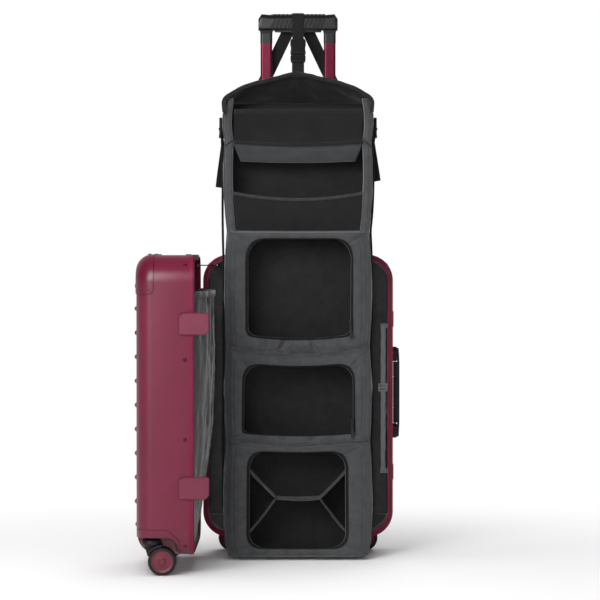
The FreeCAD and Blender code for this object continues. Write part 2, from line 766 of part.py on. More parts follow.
def turned_wheel(profile, side):
    """Solid turned about the axle from (distance from mid-plane, radius, bend) corners."""
    corners = [(side * u, r, bend) for u, r, bend in profile]
    face = Part.Face(outline(corners, lambda u, v: Vector(TRAIL, u, WHEEL_RADIUS + v)))
    return face.revolve(Vector(TRAIL, 0, WHEEL_RADIUS), Y_AXIS, 360)


def wheel_faces():
    """Inner and outer face of a wheel, out from the fork's mid-plane."""
    start = FORK_WEB / 2 + WHEEL_GAP
    return start, start + WHEEL_WIDTH


def caster_tyres():
    start, end = wheel_faces()
    profile = [(start, HUB_RADIUS, 0), (end, HUB_RADIUS, 0), (end, WHEEL_RADIUS, TYRE_ROUND),
               (start, WHEEL_RADIUS, TYRE_ROUND)]
    return Part.makeCompound([turned_wheel(profile, side) for side in (-1, 1)])


def caster_hubs():
    """Two dished hubs pressed on one axle."""
    start, end = wheel_faces()
    profile = [(start, 0, 0), (start, HUB_RADIUS, 0)] + [(end + out, r, bend) for out, r, bend in HUB_FACE]
    hubs = [turned_wheel(profile, side) for side in (-1, 1)]
    axle = Part.makeCylinder(AXLE_RADIUS, 2 * start, Vector(TRAIL, -start, WHEEL_RADIUS), Y_AXIS)
    return joined(hubs + [axle])


def caster_places():
    """Name, swivel place and heading of the trailing wheel, with the lid open."""
    x, y = swivel_spot(LID_DEPTH)
    back = -swivel_spot(REAR_DEPTH)[1]
    return [("rear_left", -x, back, 0.0), ("rear_right", x, back, 180.0),
            ("lid_latch", *swung(x, y), 0.0), ("lid_hinge", *swung(-x, y), 0.0)]


# Telescopic handle


def tube_corners(size, grow):
    width = size[0] / 2 + grow
    depth = size[1] / 2 + grow
    return rectangle(-width, width, -depth, depth, TUBE_ROUND + grow)


def tube_pair(grow, low, high):
    """Two rounded oblong tubes; grow is how much larger than the inner stage, which is grooved."""
    outer = prism_z(tube_corners(TUBE_SIZE, grow), low, high)
    inner = prism_z(tube_corners(TUBE_SIZE, grow - TUBE_WALL), low, high)
    tube = outer.cut(inner)
    if grow == 0:
        half = TUBE_SIZE[0] / 8
        depth = TUBE_SIZE[1] / 2
        for y in (-depth, depth - TUBE_GROOVE):
            tube = tube.cut(box(-half, half, y, y + TUBE_GROOVE, low, high))
    return both_sides(tube.translated(Vector(TUBE_SPACING / 2, TUBE_Y, 0)))


def tray_box(grow, low, high):
    half = GRIP_LENGTH / 2 + TRAY_MARGIN + grow
    deep = GRIP_DEPTH / 2 + TRAY_MARGIN / 2 + grow
    return prism_z(rectangle(-half, half, TUBE_Y - deep, TUBE_Y + deep, TRAY_MARGIN + grow), low, high)


def handle_tray():
    """Recess in the top wall that the grip drops into, with a flange and two tube holes."""
    flange = tray_box(TRAY_WALL + TRAY_FLANGE, CASE_TOP, CASE_TOP + TRAY_FLANGE_WALL)
    tub = tray_box(TRAY_WALL, TRAY_FLOOR - TRAY_WALL, CASE_TOP)
    body = flange.fuse(tub).cut(tray_box(0, TRAY_FLOOR, CASE_TOP + TRAY_DEPTH))
    hole = prism_z(tube_corners(TUBE_SIZE, 2 * STAGE - TUBE_WALL), TRAY_FLOOR - TRAY_DEPTH, CASE_TOP)
    hole = hole.translated(Vector(TUBE_SPACING / 2, TUBE_Y, 0))
    return body.cut(hole).cut(mirrored_x(hole))


def tube_foot():
    """Bracket across the tube ends, screwed to the back wall."""
    half = TUBE_SPACING / 2 + TUBE_SIZE[0]
    deep = TUBE_SIZE[1] / 2 + 2 * STAGE
    near = TUBE_Y - deep - SOCKET_WALL
    low = OUTER_TUBE_FOOT
    high = low + SOCKET_DEPTH
    bar = box(-half, half, near, REAR_DEPTH - SHELL_WALL, low - SOCKET_FLOOR, high)
    socket = prism_z(tube_corners(TUBE_SIZE, 2 * STAGE), low, high)
    socket = socket.translated(Vector(TUBE_SPACING / 2, TUBE_Y, 0))
    relief = box(-half / 3, half / 3, near, TUBE_Y + deep, low, high)
    return bar.cut(socket).cut(mirrored_x(socket)).cut(relief)


def grip_section(x, sink):
    """Cross-section of the grip at x, sunk a little at the top."""
    half = GRIP_DEPTH / 2
    top = GRIP_TOP - sink
    slim = half - GRIP_TAPER
    corners = [(TUBE_Y - half, GRIP_BOTTOM, GRIP_LOW_ROUND), (TUBE_Y + half, GRIP_BOTTOM, GRIP_LOW_ROUND),
               (TUBE_Y + slim, top, GRIP_TOP_ROUND), (TUBE_Y - slim, top, GRIP_TOP_ROUND)]
    return outline(corners, lambda u, v: Vector(x, u, v))


def handle_grip():
    """Grip with sloped ends and a collar over each tube top."""
    half = GRIP_LENGTH / 2
    left = [(inset - half, sink) for inset, sink in GRIP_CROWN]
    right = [(-x, sink) for x, sink in reversed(left)]
    bar = Part.makeLoft([grip_section(x, sink) for x, sink in left + right], True, True)
    low = GRIP_BOTTOM - COLLAR_HEIGHT
    flare = GRIP_BOTTOM - COLLAR_HEIGHT / 4
    centre = TUBE_SPACING / 2
    stations = ((COLLAR_WALL, low), (COLLAR_WALL, flare), (COLLAR_FLARE, GRIP_BOTTOM + TUBE_WALL))
    rings = [outline(tube_corners(TUBE_SIZE, grow), lambda u, v, z=z: Vector(u + centre, v + TUBE_Y, z))
             for grow, z in stations]
    collar = Part.makeLoft(rings, True, True)
    bore = prism_z(tube_corners(TUBE_SIZE, 0), low, GRIP_BOTTOM + COLLAR_HEIGHT / 2)
    bore = bore.translated(Vector(centre, TUBE_Y, 0))
    body = joined([bar, collar, mirrored_x(collar)]).cut(bore).cut(mirrored_x(bore))
    return body.cut(release_bar(RUNNING_GAP, RELEASE_TRAVEL + RUNNING_GAP))


def release_bar(grow, rise):
    """Squeeze bar in the underside of the grip, grown and raised to make its room."""
    half = RELEASE_LENGTH / 2 + grow
    deep = GRIP_DEPTH / 4 + grow
    plan = rectangle(-half, half, TUBE_Y - deep, TUBE_Y + deep, deep * 0.9)
    return prism_z(plan, GRIP_BOTTOM - RELEASE_DROP, GRIP_BOTTOM + RELEASE_RISE + rise)


# Carry handles, drawn along X with the wall at Z = 0


def carry_base():
    """Plate on the wall with a cup at each end that holds a foot of the grip in a stepped slot."""
    end = CARRY_LENGTH / 2
    deep = CARRY_WIDTH / 2
    cup = prism_z(rectangle(end - CARRY_MOUNT, end, -deep, deep, CUP_ROUND), 0, CARRY_MOUNT_HEIGHT)
    rim = [e for e in cup.Edges if all(abs(v.Z - CARRY_MOUNT_HEIGHT) < TINY for v in e.Vertexes)]
    cup = cup.makeFillet(CUP_EDGE, rim)
    reach = end - CUP_ROUND
    plate = prism_z(rectangle(-reach, reach, CUP_EDGE - deep, deep - CUP_EDGE), 0, CARRY_PLATE)
    body = joined([plate, cup, mirrored_x(cup)])
    for room in carry_foot(RUNNING_GAP, CARRY_TRAVEL):
        body = body.cut(room).cut(mirrored_x(room))
    return body


def carry_foot(grow, lift):
    """Flange and neck of the grip inside the cup at +X, with the room they sweep when lifted."""
    middle = CARRY_LENGTH / 2 - CARRY_MOUNT / 2
    wide = CARRY_MOUNT / 3 + grow
    slim = CARRY_MOUNT / 4.5 + grow
    flange = rectangle(middle - wide, middle + wide, -wide, wide, FOOT_WALL)
    neck = rectangle(middle - slim, middle + slim, -slim, slim, FOOT_WALL)
    top = FOOT_LEVEL + FOOT_WALL
    return (prism_z(flange, FOOT_LEVEL - grow, top + grow + lift),
            prism_z(neck, top - FOOT_WALL / 2, CARRY_MOUNT_HEIGHT + CARRY_EDGE))


def carry_grip():
    """Bowed grip, thick between the cups, whose two feet lift in them."""
    end = CARRY_LENGTH / 2 - CUP_EDGE
    start = CARRY_MOUNT_HEIGHT + CARRY_GAP
    low = CARRY_RISE - CARRY_GRIP
    inner = CARRY_LENGTH / 2 - CARRY_MOUNT - 2 * CARRY_GAP
    belly = inner - 2 * (start - low)
    deep = CARRY_WIDTH / 2 - FOOT_WALL
    crown = end - CARRY_MOUNT
    lip = start + CUP_EDGE
    right = [(belly, low, CARRY_BEND), (inner, start, CARRY_EDGE), (end, start, 0), (end, lip, CARRY_EDGE),
             (crown, CARRY_RISE, CARRY_LENGTH)]
    left = [(-x, z, bend) for x, z, bend in reversed(right)]
    bow = prism_y(right + left, -deep, deep)
    flange, neck = carry_foot(0, 0)
    feet = [flange, neck.common(box(-end, 2 * end, -deep, deep, 0, start + CARRY_EDGE))]
    return joined([bow] + feet + [mirrored_x(f) for f in feet])


def on_side_wall(shape):
    """From the handle's own frame to the rear half's +X wall, lying along Z."""
    turned = shape.rotated(Vector(0, 0, 0), Y_AXIS, 90)
    return turned.translated(Vector(HALF, SIDE_HANDLE_Y, SIDE_HANDLE_Z))


def on_top_wall(shape):
    return shape.translated(Vector(0, TOP_HANDLE_Y, CASE_TOP))


# Strap and feet in the rear half


def packing_strap():
    """Upright webbing at the right of the rear half, with its ends turned to the wall."""
    x0 = HALF - PACKING_INSET
    y = BAND_DEPTH
    low = MIDDLE + PACKING_ENDS[0]
    high = MIDDLE + PACKING_ENDS[1]
    wall = HALF - LINING_INSET - LINING_WALL
    pieces = [box(x0, x0 + WEBBING / 2, y, y + WEBBING_WALL, low, high)]
    for z in (low, high - PACKING_TURN):
        pieces.append(box(x0, wall, y, y + 2 * WEBBING_WALL, z, z + PACKING_TURN))
    return joined(pieces)


def packing_slider():
    """Three-bar slider round the webbing."""
    x0 = HALF - PACKING_INSET
    x1 = x0 + WEBBING / 2
    y = BAND_DEPTH
    wall = WEBBING_WALL
    low = MIDDLE + SLIDER_LEVEL
    high = low + SLIDER_HEIGHT
    slack = SLIDER_SLACK
    frame = prism_y(rectangle(x0 - SLIDER_RAIL, x1 + SLIDER_RAIL, low, high, wall), y - wall, y + 2 * wall)
    body = frame.cut(box(x0 - slack, x1 + slack, y - slack, y + wall + slack, low, high))
    for z in (low + SLIDER_BAR, high - SLIDER_BAR - SLIDER_WINDOW):
        body = body.cut(box(x0, x1, y - 2 * wall, y + 3 * wall, z, z + SLIDER_WINDOW))
    return body


def side_feet():
    """Rubber feet on the hinge side, taller than the hinge knuckles, to lay the case down on."""
    height = HINGE_OFFSET + KNUCKLE_RADIUS + FEET_CLEAR
    feet = []
    for step in (-FEET_SPREAD, FEET_SPREAD):
        seat = Vector(-HALF, FEET_DEPTH, MIDDLE + step)
        feet.append(Part.makeCone(FEET_RADIUS, FEET_TOP, height, seat, X_AXIS * -1))
    return Part.makeCompound(feet)


# Organiser


def lean(z):
    """How far back the organiser stands at a height: upright below, leaning to the handle above."""
    return ORG_LEAN * max(0.0, z - ORG_BEND) / (ORG_SHOULDER - ORG_BEND)


def hood_section(y, corner, peak, tilt, grow, wall):
    """Closed gable section of the hood, in a plane tilted back by tilt."""
    slope = math.tan(math.radians(tilt))
    eave = corner - HOOD_ROUND - HOOD_LAP
    corners = []
    for inset in (0, wall):
        side = ORG_HALF + FABRIC + grow - inset
        bend = HOOD_ROUND + grow - inset
        edge = corner + grow - inset
        ridge = peak + grow - inset
        run = [(-side, eave, 0), (-side, edge, bend), (0, ridge, HOOD_RIDGE_ROUND), (side, edge, bend),
               (side, eave, 0)]
        corners += run[::-1] if inset else run
    return outline(corners, lambda u, v: Vector(u, y + (v - ORG_SHOULDER) * slope, v))


def hood_ends():
    """Where the roof starts and ends: depth, corner, peak and tilt of its front and back sections."""
    front = (ORG_FRONT + lean(ORG_SHOULDER), HOOD_CORNER, ORG_PEAK, HOOD_TILT)
    back = (ORG_BACK + lean(ORG_SHOULDER), HOOD_CORNER - HOOD_ROUND, ORG_PEAK - HOOD_FALL, 0.0)
    return front, back


def organiser_hood():
    """Gabled roof over the top compartment with a bound front edge."""
    front, back = hood_ends()
    roof = Part.makeLoft([hood_section(*end, 0, FABRIC) for end in (front, back)], True, True)
    edges = [hood_section(front[0] + step, *front[1:], FABRIC / 2, HOOD_BINDING)
             for step in (-FABRIC, 2 * FABRIC)]
    return roof.fuse(Part.makeLoft(edges, True, True))


def organiser_back():
    """Back panel, upright below and leaning above, up to the back edge of the roof."""
    low = ORG_FOOT + FABRIC
    top = hood_ends()[1][1]
    y = ORG_BACK
    profile = [(y, low, 0), (y, ORG_BEND, 0), (y + lean(top), top, 0), (y + lean(top) - FABRIC, top, 0),
               (y - FABRIC, ORG_BEND, 0), (y - FABRIC, low, 0)]
    return prism_x(profile, FABRIC - ORG_HALF, ORG_HALF - FABRIC).cut(organiser_hood())


def organiser_sides():
    top = ORG_SHOULDER
    profile = [(ORG_FRONT, ORG_FOOT, ORG_ROUND), (ORG_FRONT, ORG_BEND, 0), (ORG_FRONT + lean(top), top, 0),
               (ORG_BACK + lean(top), top, 0), (ORG_BACK, ORG_BEND, 0), (ORG_BACK, ORG_FOOT, ORG_ROUND)]
    return both_sides(prism_x(profile, ORG_HALF - FABRIC, ORG_HALF).cut(organiser_hood()))


def organiser_shelves():
    boards = []
    side = ORG_HALF - FABRIC
    for z in SHELF_LEVELS:
        front = ORG_FRONT + FABRIC + lean(z + FABRIC)
        back = ORG_BACK - FABRIC + lean(z)
        boards.append(box(-side, side, front, back, z, z + FABRIC))
    return Part.makeCompound(boards)


def zipped_front(low, high, opening):
    """Front of one compartment; opening is (left, right, bottom, top, top radius)."""
    left, right, bottom, top, radius = opening
    side = ORG_HALF - FABRIC
    panel = prism_y(rectangle(-side, side, low, high), ORG_FRONT, ORG_FRONT + FABRIC)
    corners = [(left, bottom, ORG_ROUND), (right, bottom, ORG_ROUND), (right, top, radius),
               (left, top, radius)]
    return panel.cut(prism_y(corners, ORG_FRONT - FABRIC, ORG_FRONT + 2 * FABRIC))


def organiser_fronts():
    fronts = [zipped_front(SHELF_LEVELS[i], SHELF_LEVELS[i + 1] - SEAM, FRONT_OPENINGS[i]) for i in range(3)]
    shelf = SHELF_LEVELS[4]
    valance = leaning_panel(shelf - VALANCE_DROP, shelf + FABRIC, ORG_HALF - FABRIC, FABRIC)
    return Part.makeCompound(fronts + [valance])


def leaning_panel(low, high, half, wall):
    """Sheet across the front of an upper compartment, following the lean."""
    profile = [(ORG_FRONT + lean(low), low, 0), (ORG_FRONT + lean(high), high, 0),
               (ORG_FRONT + lean(high) + wall, high, 0), (ORG_FRONT + lean(low) + wall, low, 0)]
    return prism_x(profile, -half, half)


def stretch_panel():
    return leaning_panel(SHELF_LEVELS[3] + FABRIC, SHELF_LEVELS[3] + STRETCH_TOP, ORG_HALF - FABRIC, FABRIC)


def net_pocket():
    return leaning_panel(SHELF_LEVELS[4] + FABRIC, SHELF_LEVELS[4] + NET_TOP, ORG_HALF - FABRIC, FABRIC)


def inner_dividers():
    """Crossed cloth dividers of the bottom compartment: a level web between two spread pairs."""
    low = ORG_FOOT + FABRIC
    high = SHELF_LEVELS[1]
    side = ORG_HALF - FABRIC
    middle = (low + high) / 2
    half = FABRIC / 2
    y0 = ORG_FRONT + 4 * FABRIC
    y1 = ORG_BACK - 3 * FABRIC
    sheets = [box(-INNER_WEB, INNER_WEB, y0, y1, middle - half, middle + half)]
    for sign in (-1, 1):
        for end, lift in ((low, -half), (high, half)):
            corners = [(sign * INNER_WEB, middle - lift, 0), (sign * INNER_WEB, middle + lift, 0),
                       (sign * side, end, 0), (sign * side, end - 2 * lift, 0)]
            sheets.append(prism_y(corners, y0, y1))
    return joined(sheets)


def ribbon(route, width, wall):
    """Flat strap across X along a route of (y, z) points, wall thick to its left."""
    edge = []
    for i, (y, z) in enumerate(route):
        here = Vector(y, z, 0)
        sides = []
        for a, b in ((i - 1, i), (i, i + 1)):
            if a >= 0 and b < len(route):
                run = unit(Vector(*route[b], 0) - Vector(*route[a], 0))
                sides.append(Vector(-run.y, run.x, 0))
        mid = unit(sides[0] + sides[-1])
        edge.append(here + mid * (wall / mid.dot(sides[0])))
    corners = [(y, z, 0) for y, z in route] + [(p.x, p.y, 0) for p in reversed(edge)]
    return prism_x(corners, -width / 2, width / 2)


def harness_points():
    """The strap's ends: the hood's peak and the front of the grip."""
    y, _, peak, tilt = hood_ends()[0]
    peak -= STRAP_SINK
    slope = math.tan(math.radians(tilt))
    grip = (TUBE_Y - GRIP_DEPTH / 2 - STRAP_GAP, GRIP_BOTTOM + STRAP_MEETS_GRIP)
    return (y + (peak - ORG_SHOULDER) * slope + FABRIC, peak), grip


def strap_point(share):
    peak, grip = harness_points()
    return peak[0] + (grip[0] - peak[0]) * share, peak[1] + (grip[1] - peak[1]) * share


def hang_harness():
    """Webbing from the hood over the grip, and two tails behind the tubes to the organiser's back corners."""
    peak, grip = harness_points()
    start, end = BUCKLE_SPAN
    near = grip[0]
    back = TUBE_Y + GRIP_DEPTH / 2 + STRAP_GAP
    top = GRIP_TOP + STRAP_GAP
    loop = [strap_point(end), grip] + [(near + inset, top - drop) for inset, drop in LOOP_CORNER]
    loop += [(back - inset, top - drop) for inset, drop in reversed(LOOP_CORNER)]
    loop.append((back, GRIP_BOTTOM + STRAP_BACK_END))
    tab = ribbon([peak, strap_point(start)], WEBBING, WEBBING_WALL).cut(organiser_hood())
    pieces = [tab, ribbon(loop, WEBBING, WEBBING_WALL)]
    y0 = back + WEBBING_WALL
    y1 = y0 + WEBBING_WALL
    half = WEBBING / 2 * TAIL_SLANT
    head = GRIP_BOTTOM + TAIL_HEAD[1]
    foot = ORG_SHOULDER + TAIL_FOOT[1]
    home = ORG_BACK + lean(foot)
    for sign in (-1, 1):
        upper = sign * TAIL_HEAD[0]
        lower = sign * TAIL_FOOT[0]
        corners = [(upper - half, head, 0), (upper + half, head, 0), (lower + half, foot, 0),
                   (lower - half, foot, 0)]
        turn = box(lower - half, lower + half, home, y1, foot - WEBBING_WALL, foot)
        pieces.append(joined([prism_y(corners, y0, y1), turn]))
    return Part.makeCompound(pieces)


def hang_buckle():
    """Side-release buckle on the hanging strap: socket with side windows, and prongs."""
    low, high = (strap_point(share) for share in BUCKLE_SPAN)
    length = math.hypot(high[0] - low[0], high[1] - low[1])
    half = WEBBING / 2 + BUCKLE_RIM
    mouth = length * SOCKET_START
    slim = half - BUCKLE_TAPER
    socket = prism_y([(-half, mouth, BUCKLE_RIM), (half, mouth, BUCKLE_RIM), (slim, length, BUCKLE_RIM),
                      (-slim, length, BUCKLE_RIM)], -BUCKLE_HALF, BUCKLE_HALF)
    slot = BUCKLE_SLOT
    for sign in (-1, 1):
        ends = [length * share for share in WINDOW_SPAN]
        socket = socket.cut(box(sign * half - BUCKLE_RIM, sign * half + BUCKLE_RIM, -slot, slot, *ends))
    throat = [length * share for share in THROAT_SPAN]
    socket = socket.cut(box(-WEBBING / 2, WEBBING / 2, -slot, slot, *throat))
    flank = length * BASE_END
    base = prism_y([(-slim, 0, BUCKLE_RIM), (slim, 0, BUCKLE_RIM), (half, flank, BUCKLE_TAPER),
                    (-half, flank, BUCKLE_TAPER)], -BUCKLE_RIM, BUCKLE_RIM)
    blade = slot - 2 * RUNNING_GAP
    plug = [base, box(-TONGUE_HALF, TONGUE_HALF, -blade, blade, *[length * share for share in TONGUE_SPAN])]
    for sign in (-1, 1):
        plug.append(prism_y([(sign * out, length * share, 0) for out, share in PRONG], -blade, blade))
    angle = math.degrees(math.atan2(high[0] - low[0], high[1] - low[1]))
    pieces = [s.rotated(Vector(0, 0, 0), X_AXIS, -angle) for s in (socket, joined(plug))]
    return Part.makeCompound([s.translated(Vector(0, *low)) for s in pieces])


def side_straps():
    """Compression straps down the organiser's sides, each with a ladder lock and a loose tail."""
    x0 = ORG_HALF
    x1 = x0 + WEBBING_WALL
    high = SHELF_LEVELS[4] + SIDE_STRAP_TOP
    foot = ORG_FOOT + SIDE_STRAP_FOOT
    middle = (ORG_FRONT + ORG_BACK) / 2
    wide = WEBBING / 4
    y = middle + lean(high)
    profile = [(middle - wide, ORG_BEND, 0), (y - wide, high, 0), (y + wide, high, 0),
               (middle + wide, ORG_BEND, 0), (middle + wide, foot, 0), (middle - wide, foot, 0)]
    run = prism_x(profile, x0, x1)
    low = high - LOCK_DROP
    top = low + LOCK_BITE
    face = x1 + LOCK_DEPTH
    gap = RUNNING_GAP
    reach = wide + LOCK_RIM
    lock = prism_y(rectangle(x1, face, low, low + LOCK_HEIGHT, LOCK_ROUND), y - reach, y + reach)
    lock = lock.cut(box(x1 + LOCK_SLOT, face, y - wide - gap, y + wide + gap, low, top))
    near = x1 + LOCK_SLOT + gap
    far = near + WEBBING_WALL
    end = low - LOOSE_LENGTH
    tail = prism_y([(near, top - gap, 0), (far, top - gap, 0), (far, low, 0), (far + LOOSE_SWING, end, 0),
                    (near + LOOSE_SWING, end, 0), (near, low, 0)], y - wide, y + wide)
    return both_sides(run), both_sides(tail), both_sides(lock)


def zip_pulls():
    """Slider and pull tab at the lower right of two of the zipped fronts."""
    width, height, deep = ZIP_SLIDER
    tab_width, tab_height, tab_wall = ZIP_TAB
    face = ORG_FRONT - deep
    tip = face - ZIP_GAP - tab_wall
    pulls = []
    for _, right, bottom, _, _ in FRONT_OPENINGS[1:]:
        z = bottom + ZIP_LIFT
        lap = z + ZIP_LAP
        middle = right + tab_width / 2
        body = rectangle(middle - width / 2, middle + width / 2, z, z + height, ZIP_ROUND)
        tab = rectangle(right, right + tab_width, lap - tab_height, lap, ZIP_ROUND)
        hump = rectangle(middle - tab_width / 4, middle + tab_width / 4, z + ZIP_GAP, lap + ZIP_LAP)
        pulls.append(joined([prism_y(body, face, ORG_FRONT), prism_y(tab, tip, face - ZIP_GAP),
                             prism_y(hump, tip, face + ZIP_GAP)]))
    return Part.makeCompound(pulls)


def rear_pieces():
    rear = REAR_DEPTH
    wall_slot = tray_box(TRAY_WALL, TRAY_FLOOR - TRAY_WALL, CASE_TOP + TRAY_WALL)
    shell = mirrored_y(half_shell(rear)).cut(wall_slot)
    side_run, side_tail, side_lock = side_straps()
    base = carry_base()
    return {
        "rear_shell": shell,
        "rear_frame": mirrored_y(rear_frame()),
        "rim_seal": mirrored_y(rim_seal()),
        "rear_corner_guards": mirrored_y(both_sides(corner_guard(rear))),
        "rear_wheel_housings": mirrored_y(both_sides(wheel_housing(rear))),
        "rear_rivets": mirrored_y(rim_rivets(rear)),
        "rear_lining": mirrored_y(lining(rear, BAND_DEPTH, BACK_PANEL_Y)),
        "rear_back_panel": mirrored_y(back_panel()),
        "rear_hinge_leaves": Part.makeCompound([hinge_leaf(z, REAR_KNUCKLES, 1) for z in hinge_levels()]),
        "hinge_pins": Part.makeCompound([hinge_pin(z) for z in hinge_levels()]),
        "latch_keepers": Part.makeCompound([latch_keeper(z) for z in latch_levels()]),
        "handle_tray": handle_tray(),
        "outer_tubes": tube_pair(2 * STAGE, OUTER_TUBE_FOOT, TRAY_FLOOR - TRAY_WALL),
        "tube_foot": tube_foot(),
        "packing_strap": packing_strap(),
        "packing_slider": packing_slider(),
        "carry_handle_mounts": Part.makeCompound([on_side_wall(base), on_top_wall(base)]),
        "side_feet": side_feet(),
        "lid_stay": lid_stay(),
        "organiser_back": organiser_back(),
        "organiser_sides": organiser_sides(),
        "organiser_shelves": organiser_shelves(),
        "organiser_fronts": organiser_fronts(),
        "organiser_hood": organiser_hood(),
        "organiser_net": net_pocket(),
        "organiser_stretch_panel": stretch_panel(),
        "organiser_dividers": inner_dividers(),
        "organiser_side_straps": Part.makeCompound([side_run, side_tail]),
        "hang_harness": hang_harness(),
        "strap_buckles": Part.makeCompound([hang_buckle(), side_lock]),
        "zip_pulls": zip_pulls(),
    }


def handle_pieces():
    return {
        "middle_tubes": tube_pair(STAGE, MID_TUBE_FOOT, MID_TUBE_TOP),
        "inner_tubes": tube_pair(0, INNER_TUBE_FOOT, GRIP_BOTTOM + COLLAR_HEIGHT / 2),
        "handle_grip": handle_grip(),
        "release_bar": release_bar(0, 0),
        "side_handle": on_side_wall(carry_grip()),
        "top_handle": on_top_wall(carry_grip()),
    }


def lid_pieces():
    levels = latch_levels()
    closed = {
        "lid_shell": half_shell(LID_DEPTH),
        "lid_frame": lid_frame(),
        "lid_lining": lining(LID_DEPTH, BAND_DEPTH, LID_DEPTH),
        "lid_divider": divider_panel(),
        "lid_corner_guards": both_sides(corner_guard(LID_DEPTH)),
        "lid_wheel_housings": both_sides(wheel_housing(LID_DEPTH)),
        "lid_rivets": rim_rivets(LID_DEPTH),
        "lid_hinge_leaves": Part.makeCompound([hinge_leaf(z, LID_KNUCKLES, -1) for z in hinge_levels()]),
        "latch_bases": Part.makeCompound([latch_base(z) for z in levels]),
        "lower_latch": latch_lever(levels[0]),
        "upper_latch": latch_lever(levels[1]),
    }
    return {name: opened(shape) for name, shape in closed.items()}


def caster_pieces():
    pieces = {}
    makers = (("fork", caster_fork), ("hubs", caster_hubs), ("tyres", caster_tyres))
    for name, x, y, heading in caster_places():
        for kind, make in makers:
            turned = make().rotated(Vector(0, 0, 0), Z_AXIS, heading)
            pieces[name + "_" + kind] = turned.translated(Vector(x, y, 0))
    return pieces


def main():
    os.makedirs("parts", exist_ok=True)
    for group in (rear_pieces, handle_pieces, lid_pieces, caster_pieces):
        for name, shape in group().items():
            shape.translated(TO_ORIGIN).exportStep("parts/" + name + ".step")


if __name__ == "__main__":
    main()
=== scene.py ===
import math

import bpy
import bmesh
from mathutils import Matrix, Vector, noise


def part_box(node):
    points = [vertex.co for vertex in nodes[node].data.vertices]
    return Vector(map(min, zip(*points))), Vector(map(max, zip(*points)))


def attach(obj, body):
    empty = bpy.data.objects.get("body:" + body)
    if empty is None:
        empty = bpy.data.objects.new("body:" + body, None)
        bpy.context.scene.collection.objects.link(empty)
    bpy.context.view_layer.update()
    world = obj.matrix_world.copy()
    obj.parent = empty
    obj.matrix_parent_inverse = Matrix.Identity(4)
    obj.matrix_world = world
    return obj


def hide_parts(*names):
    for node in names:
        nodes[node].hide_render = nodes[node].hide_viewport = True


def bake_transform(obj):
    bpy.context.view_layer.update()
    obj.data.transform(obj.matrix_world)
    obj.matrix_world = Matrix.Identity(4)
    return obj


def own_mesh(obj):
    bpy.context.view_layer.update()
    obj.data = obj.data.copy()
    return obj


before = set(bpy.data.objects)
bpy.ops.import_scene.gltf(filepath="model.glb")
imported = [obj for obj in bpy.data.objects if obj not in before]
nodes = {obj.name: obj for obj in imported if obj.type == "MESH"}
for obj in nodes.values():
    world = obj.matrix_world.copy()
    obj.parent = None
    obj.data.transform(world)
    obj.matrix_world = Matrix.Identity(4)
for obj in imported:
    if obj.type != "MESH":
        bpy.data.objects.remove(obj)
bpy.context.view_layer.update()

scene = bpy.context.scene

# The rear half's own zero: the middle of its rim, in mm, found from the rim frame and the hinge pins
rimLow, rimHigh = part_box("rear_frame")
pinLow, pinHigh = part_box("hinge_pins")
bandProud = 0.8  # how far the rim stands out of the shell
midX = (rimLow[0] + rimHigh[0]) * 500
rimY = rimLow[1] * 1000
hingeX = (pinLow[0] + pinHigh[0]) * 500 - midX
caseHalf = (rimHigh[0] - rimLow[0]) * 500 - bandProud
caseLow = rimLow[2] * 1000 + bandProud
caseTop = rimHigh[2] * 1000 - bandProud


def at(x, y, z):
    return Vector(((x + midX) / 1000, (y + rimY) / 1000, z / 1000))


# A point of the closed lid, where it stands with the lid open
def onLid(x, y, z):
    return at(hingeX + y, hingeX - x, z)


# A line of points shifted by some mm
def moved(spots, x, y, z):
    return [p + Vector((x, y, z)) / 1000 for p in spots]


def mix(a, b, share):
    return a + (b - a) * share


def smooth(low, high, value):
    share = min(max((value - low) / (high - low), 0), 1)
    return share * share * (3 - 2 * share)


# Up from nothing to one and down again
def arch(share):
    return math.sin(math.pi * share)


# One at zero, down to nothing at a reach
def fall(value, reach, power=2):
    return max(0, 1 - value / reach) ** power


def between(table, value):
    for (a, p), (b, q) in zip(table, table[1:]):
        if value <= b:
            return p + (q - p) * max(value - a, 0) / (b - a)
    return table[-1][1]


# Sharp-crested folds, about as deep as they are high
def crease(x, y, z, size, seed):
    spot = Vector((x / size + seed, y / size, z / size))
    return 1 - 2.6 * abs(noise.noise(spot)) + 0.35 * noise.noise(spot * 2.7)


def linked(name, data):
    obj = bpy.data.objects.new(name, data)
    scene.collection.objects.link(obj)
    return obj


def toMesh(obj):
    bpy.context.view_layer.update()
    made = bpy.data.meshes.new_from_object(obj.evaluated_get(bpy.context.evaluated_depsgraph_get()))
    old = obj.data
    obj.modifiers.clear()
    obj.data = made
    bpy.data.meshes.remove(old)
    return obj


def newPiece(name, points, faces, finishes, uvs=None, soft=True):
    mesh = bpy.data.meshes.new(name)
    mesh.from_pydata(points, [], faces)
    if uvs:
        layer = mesh.uv_layers.new(name="UVMap")
        for loop in mesh.loops:
            layer.data[loop.index].uv = uvs[loop.vertex_index]
    for finish in finishes:
        mesh.materials.append(finish)
    if soft:
        mesh.shade_smooth()
    mesh.update()
    return linked(name, mesh)


# Opens a piece's mesh for a change and puts the result back
def rework(obj, change):
    made = bmesh.new()
    made.from_mesh(obj.data)
    change(made)
    made.to_mesh(obj.data)
    made.free()
    return obj


def outward(made):
    bmesh.ops.recalc_face_normals(made, faces=made.faces)


# Faces of a rows x columns grid of points
def gridFaces(rows, columns, closed=False, turned=False):
    faces = []
    for r in range(rows - 1):
        for c in range(columns if closed else columns - 1):
            d = (c + 1) % columns
            face = (r * columns + c, r * columns + d, (r + 1) * columns + d, (r + 1) * columns + c)
            faces.append(face[::-1] if turned else face)
    return faces


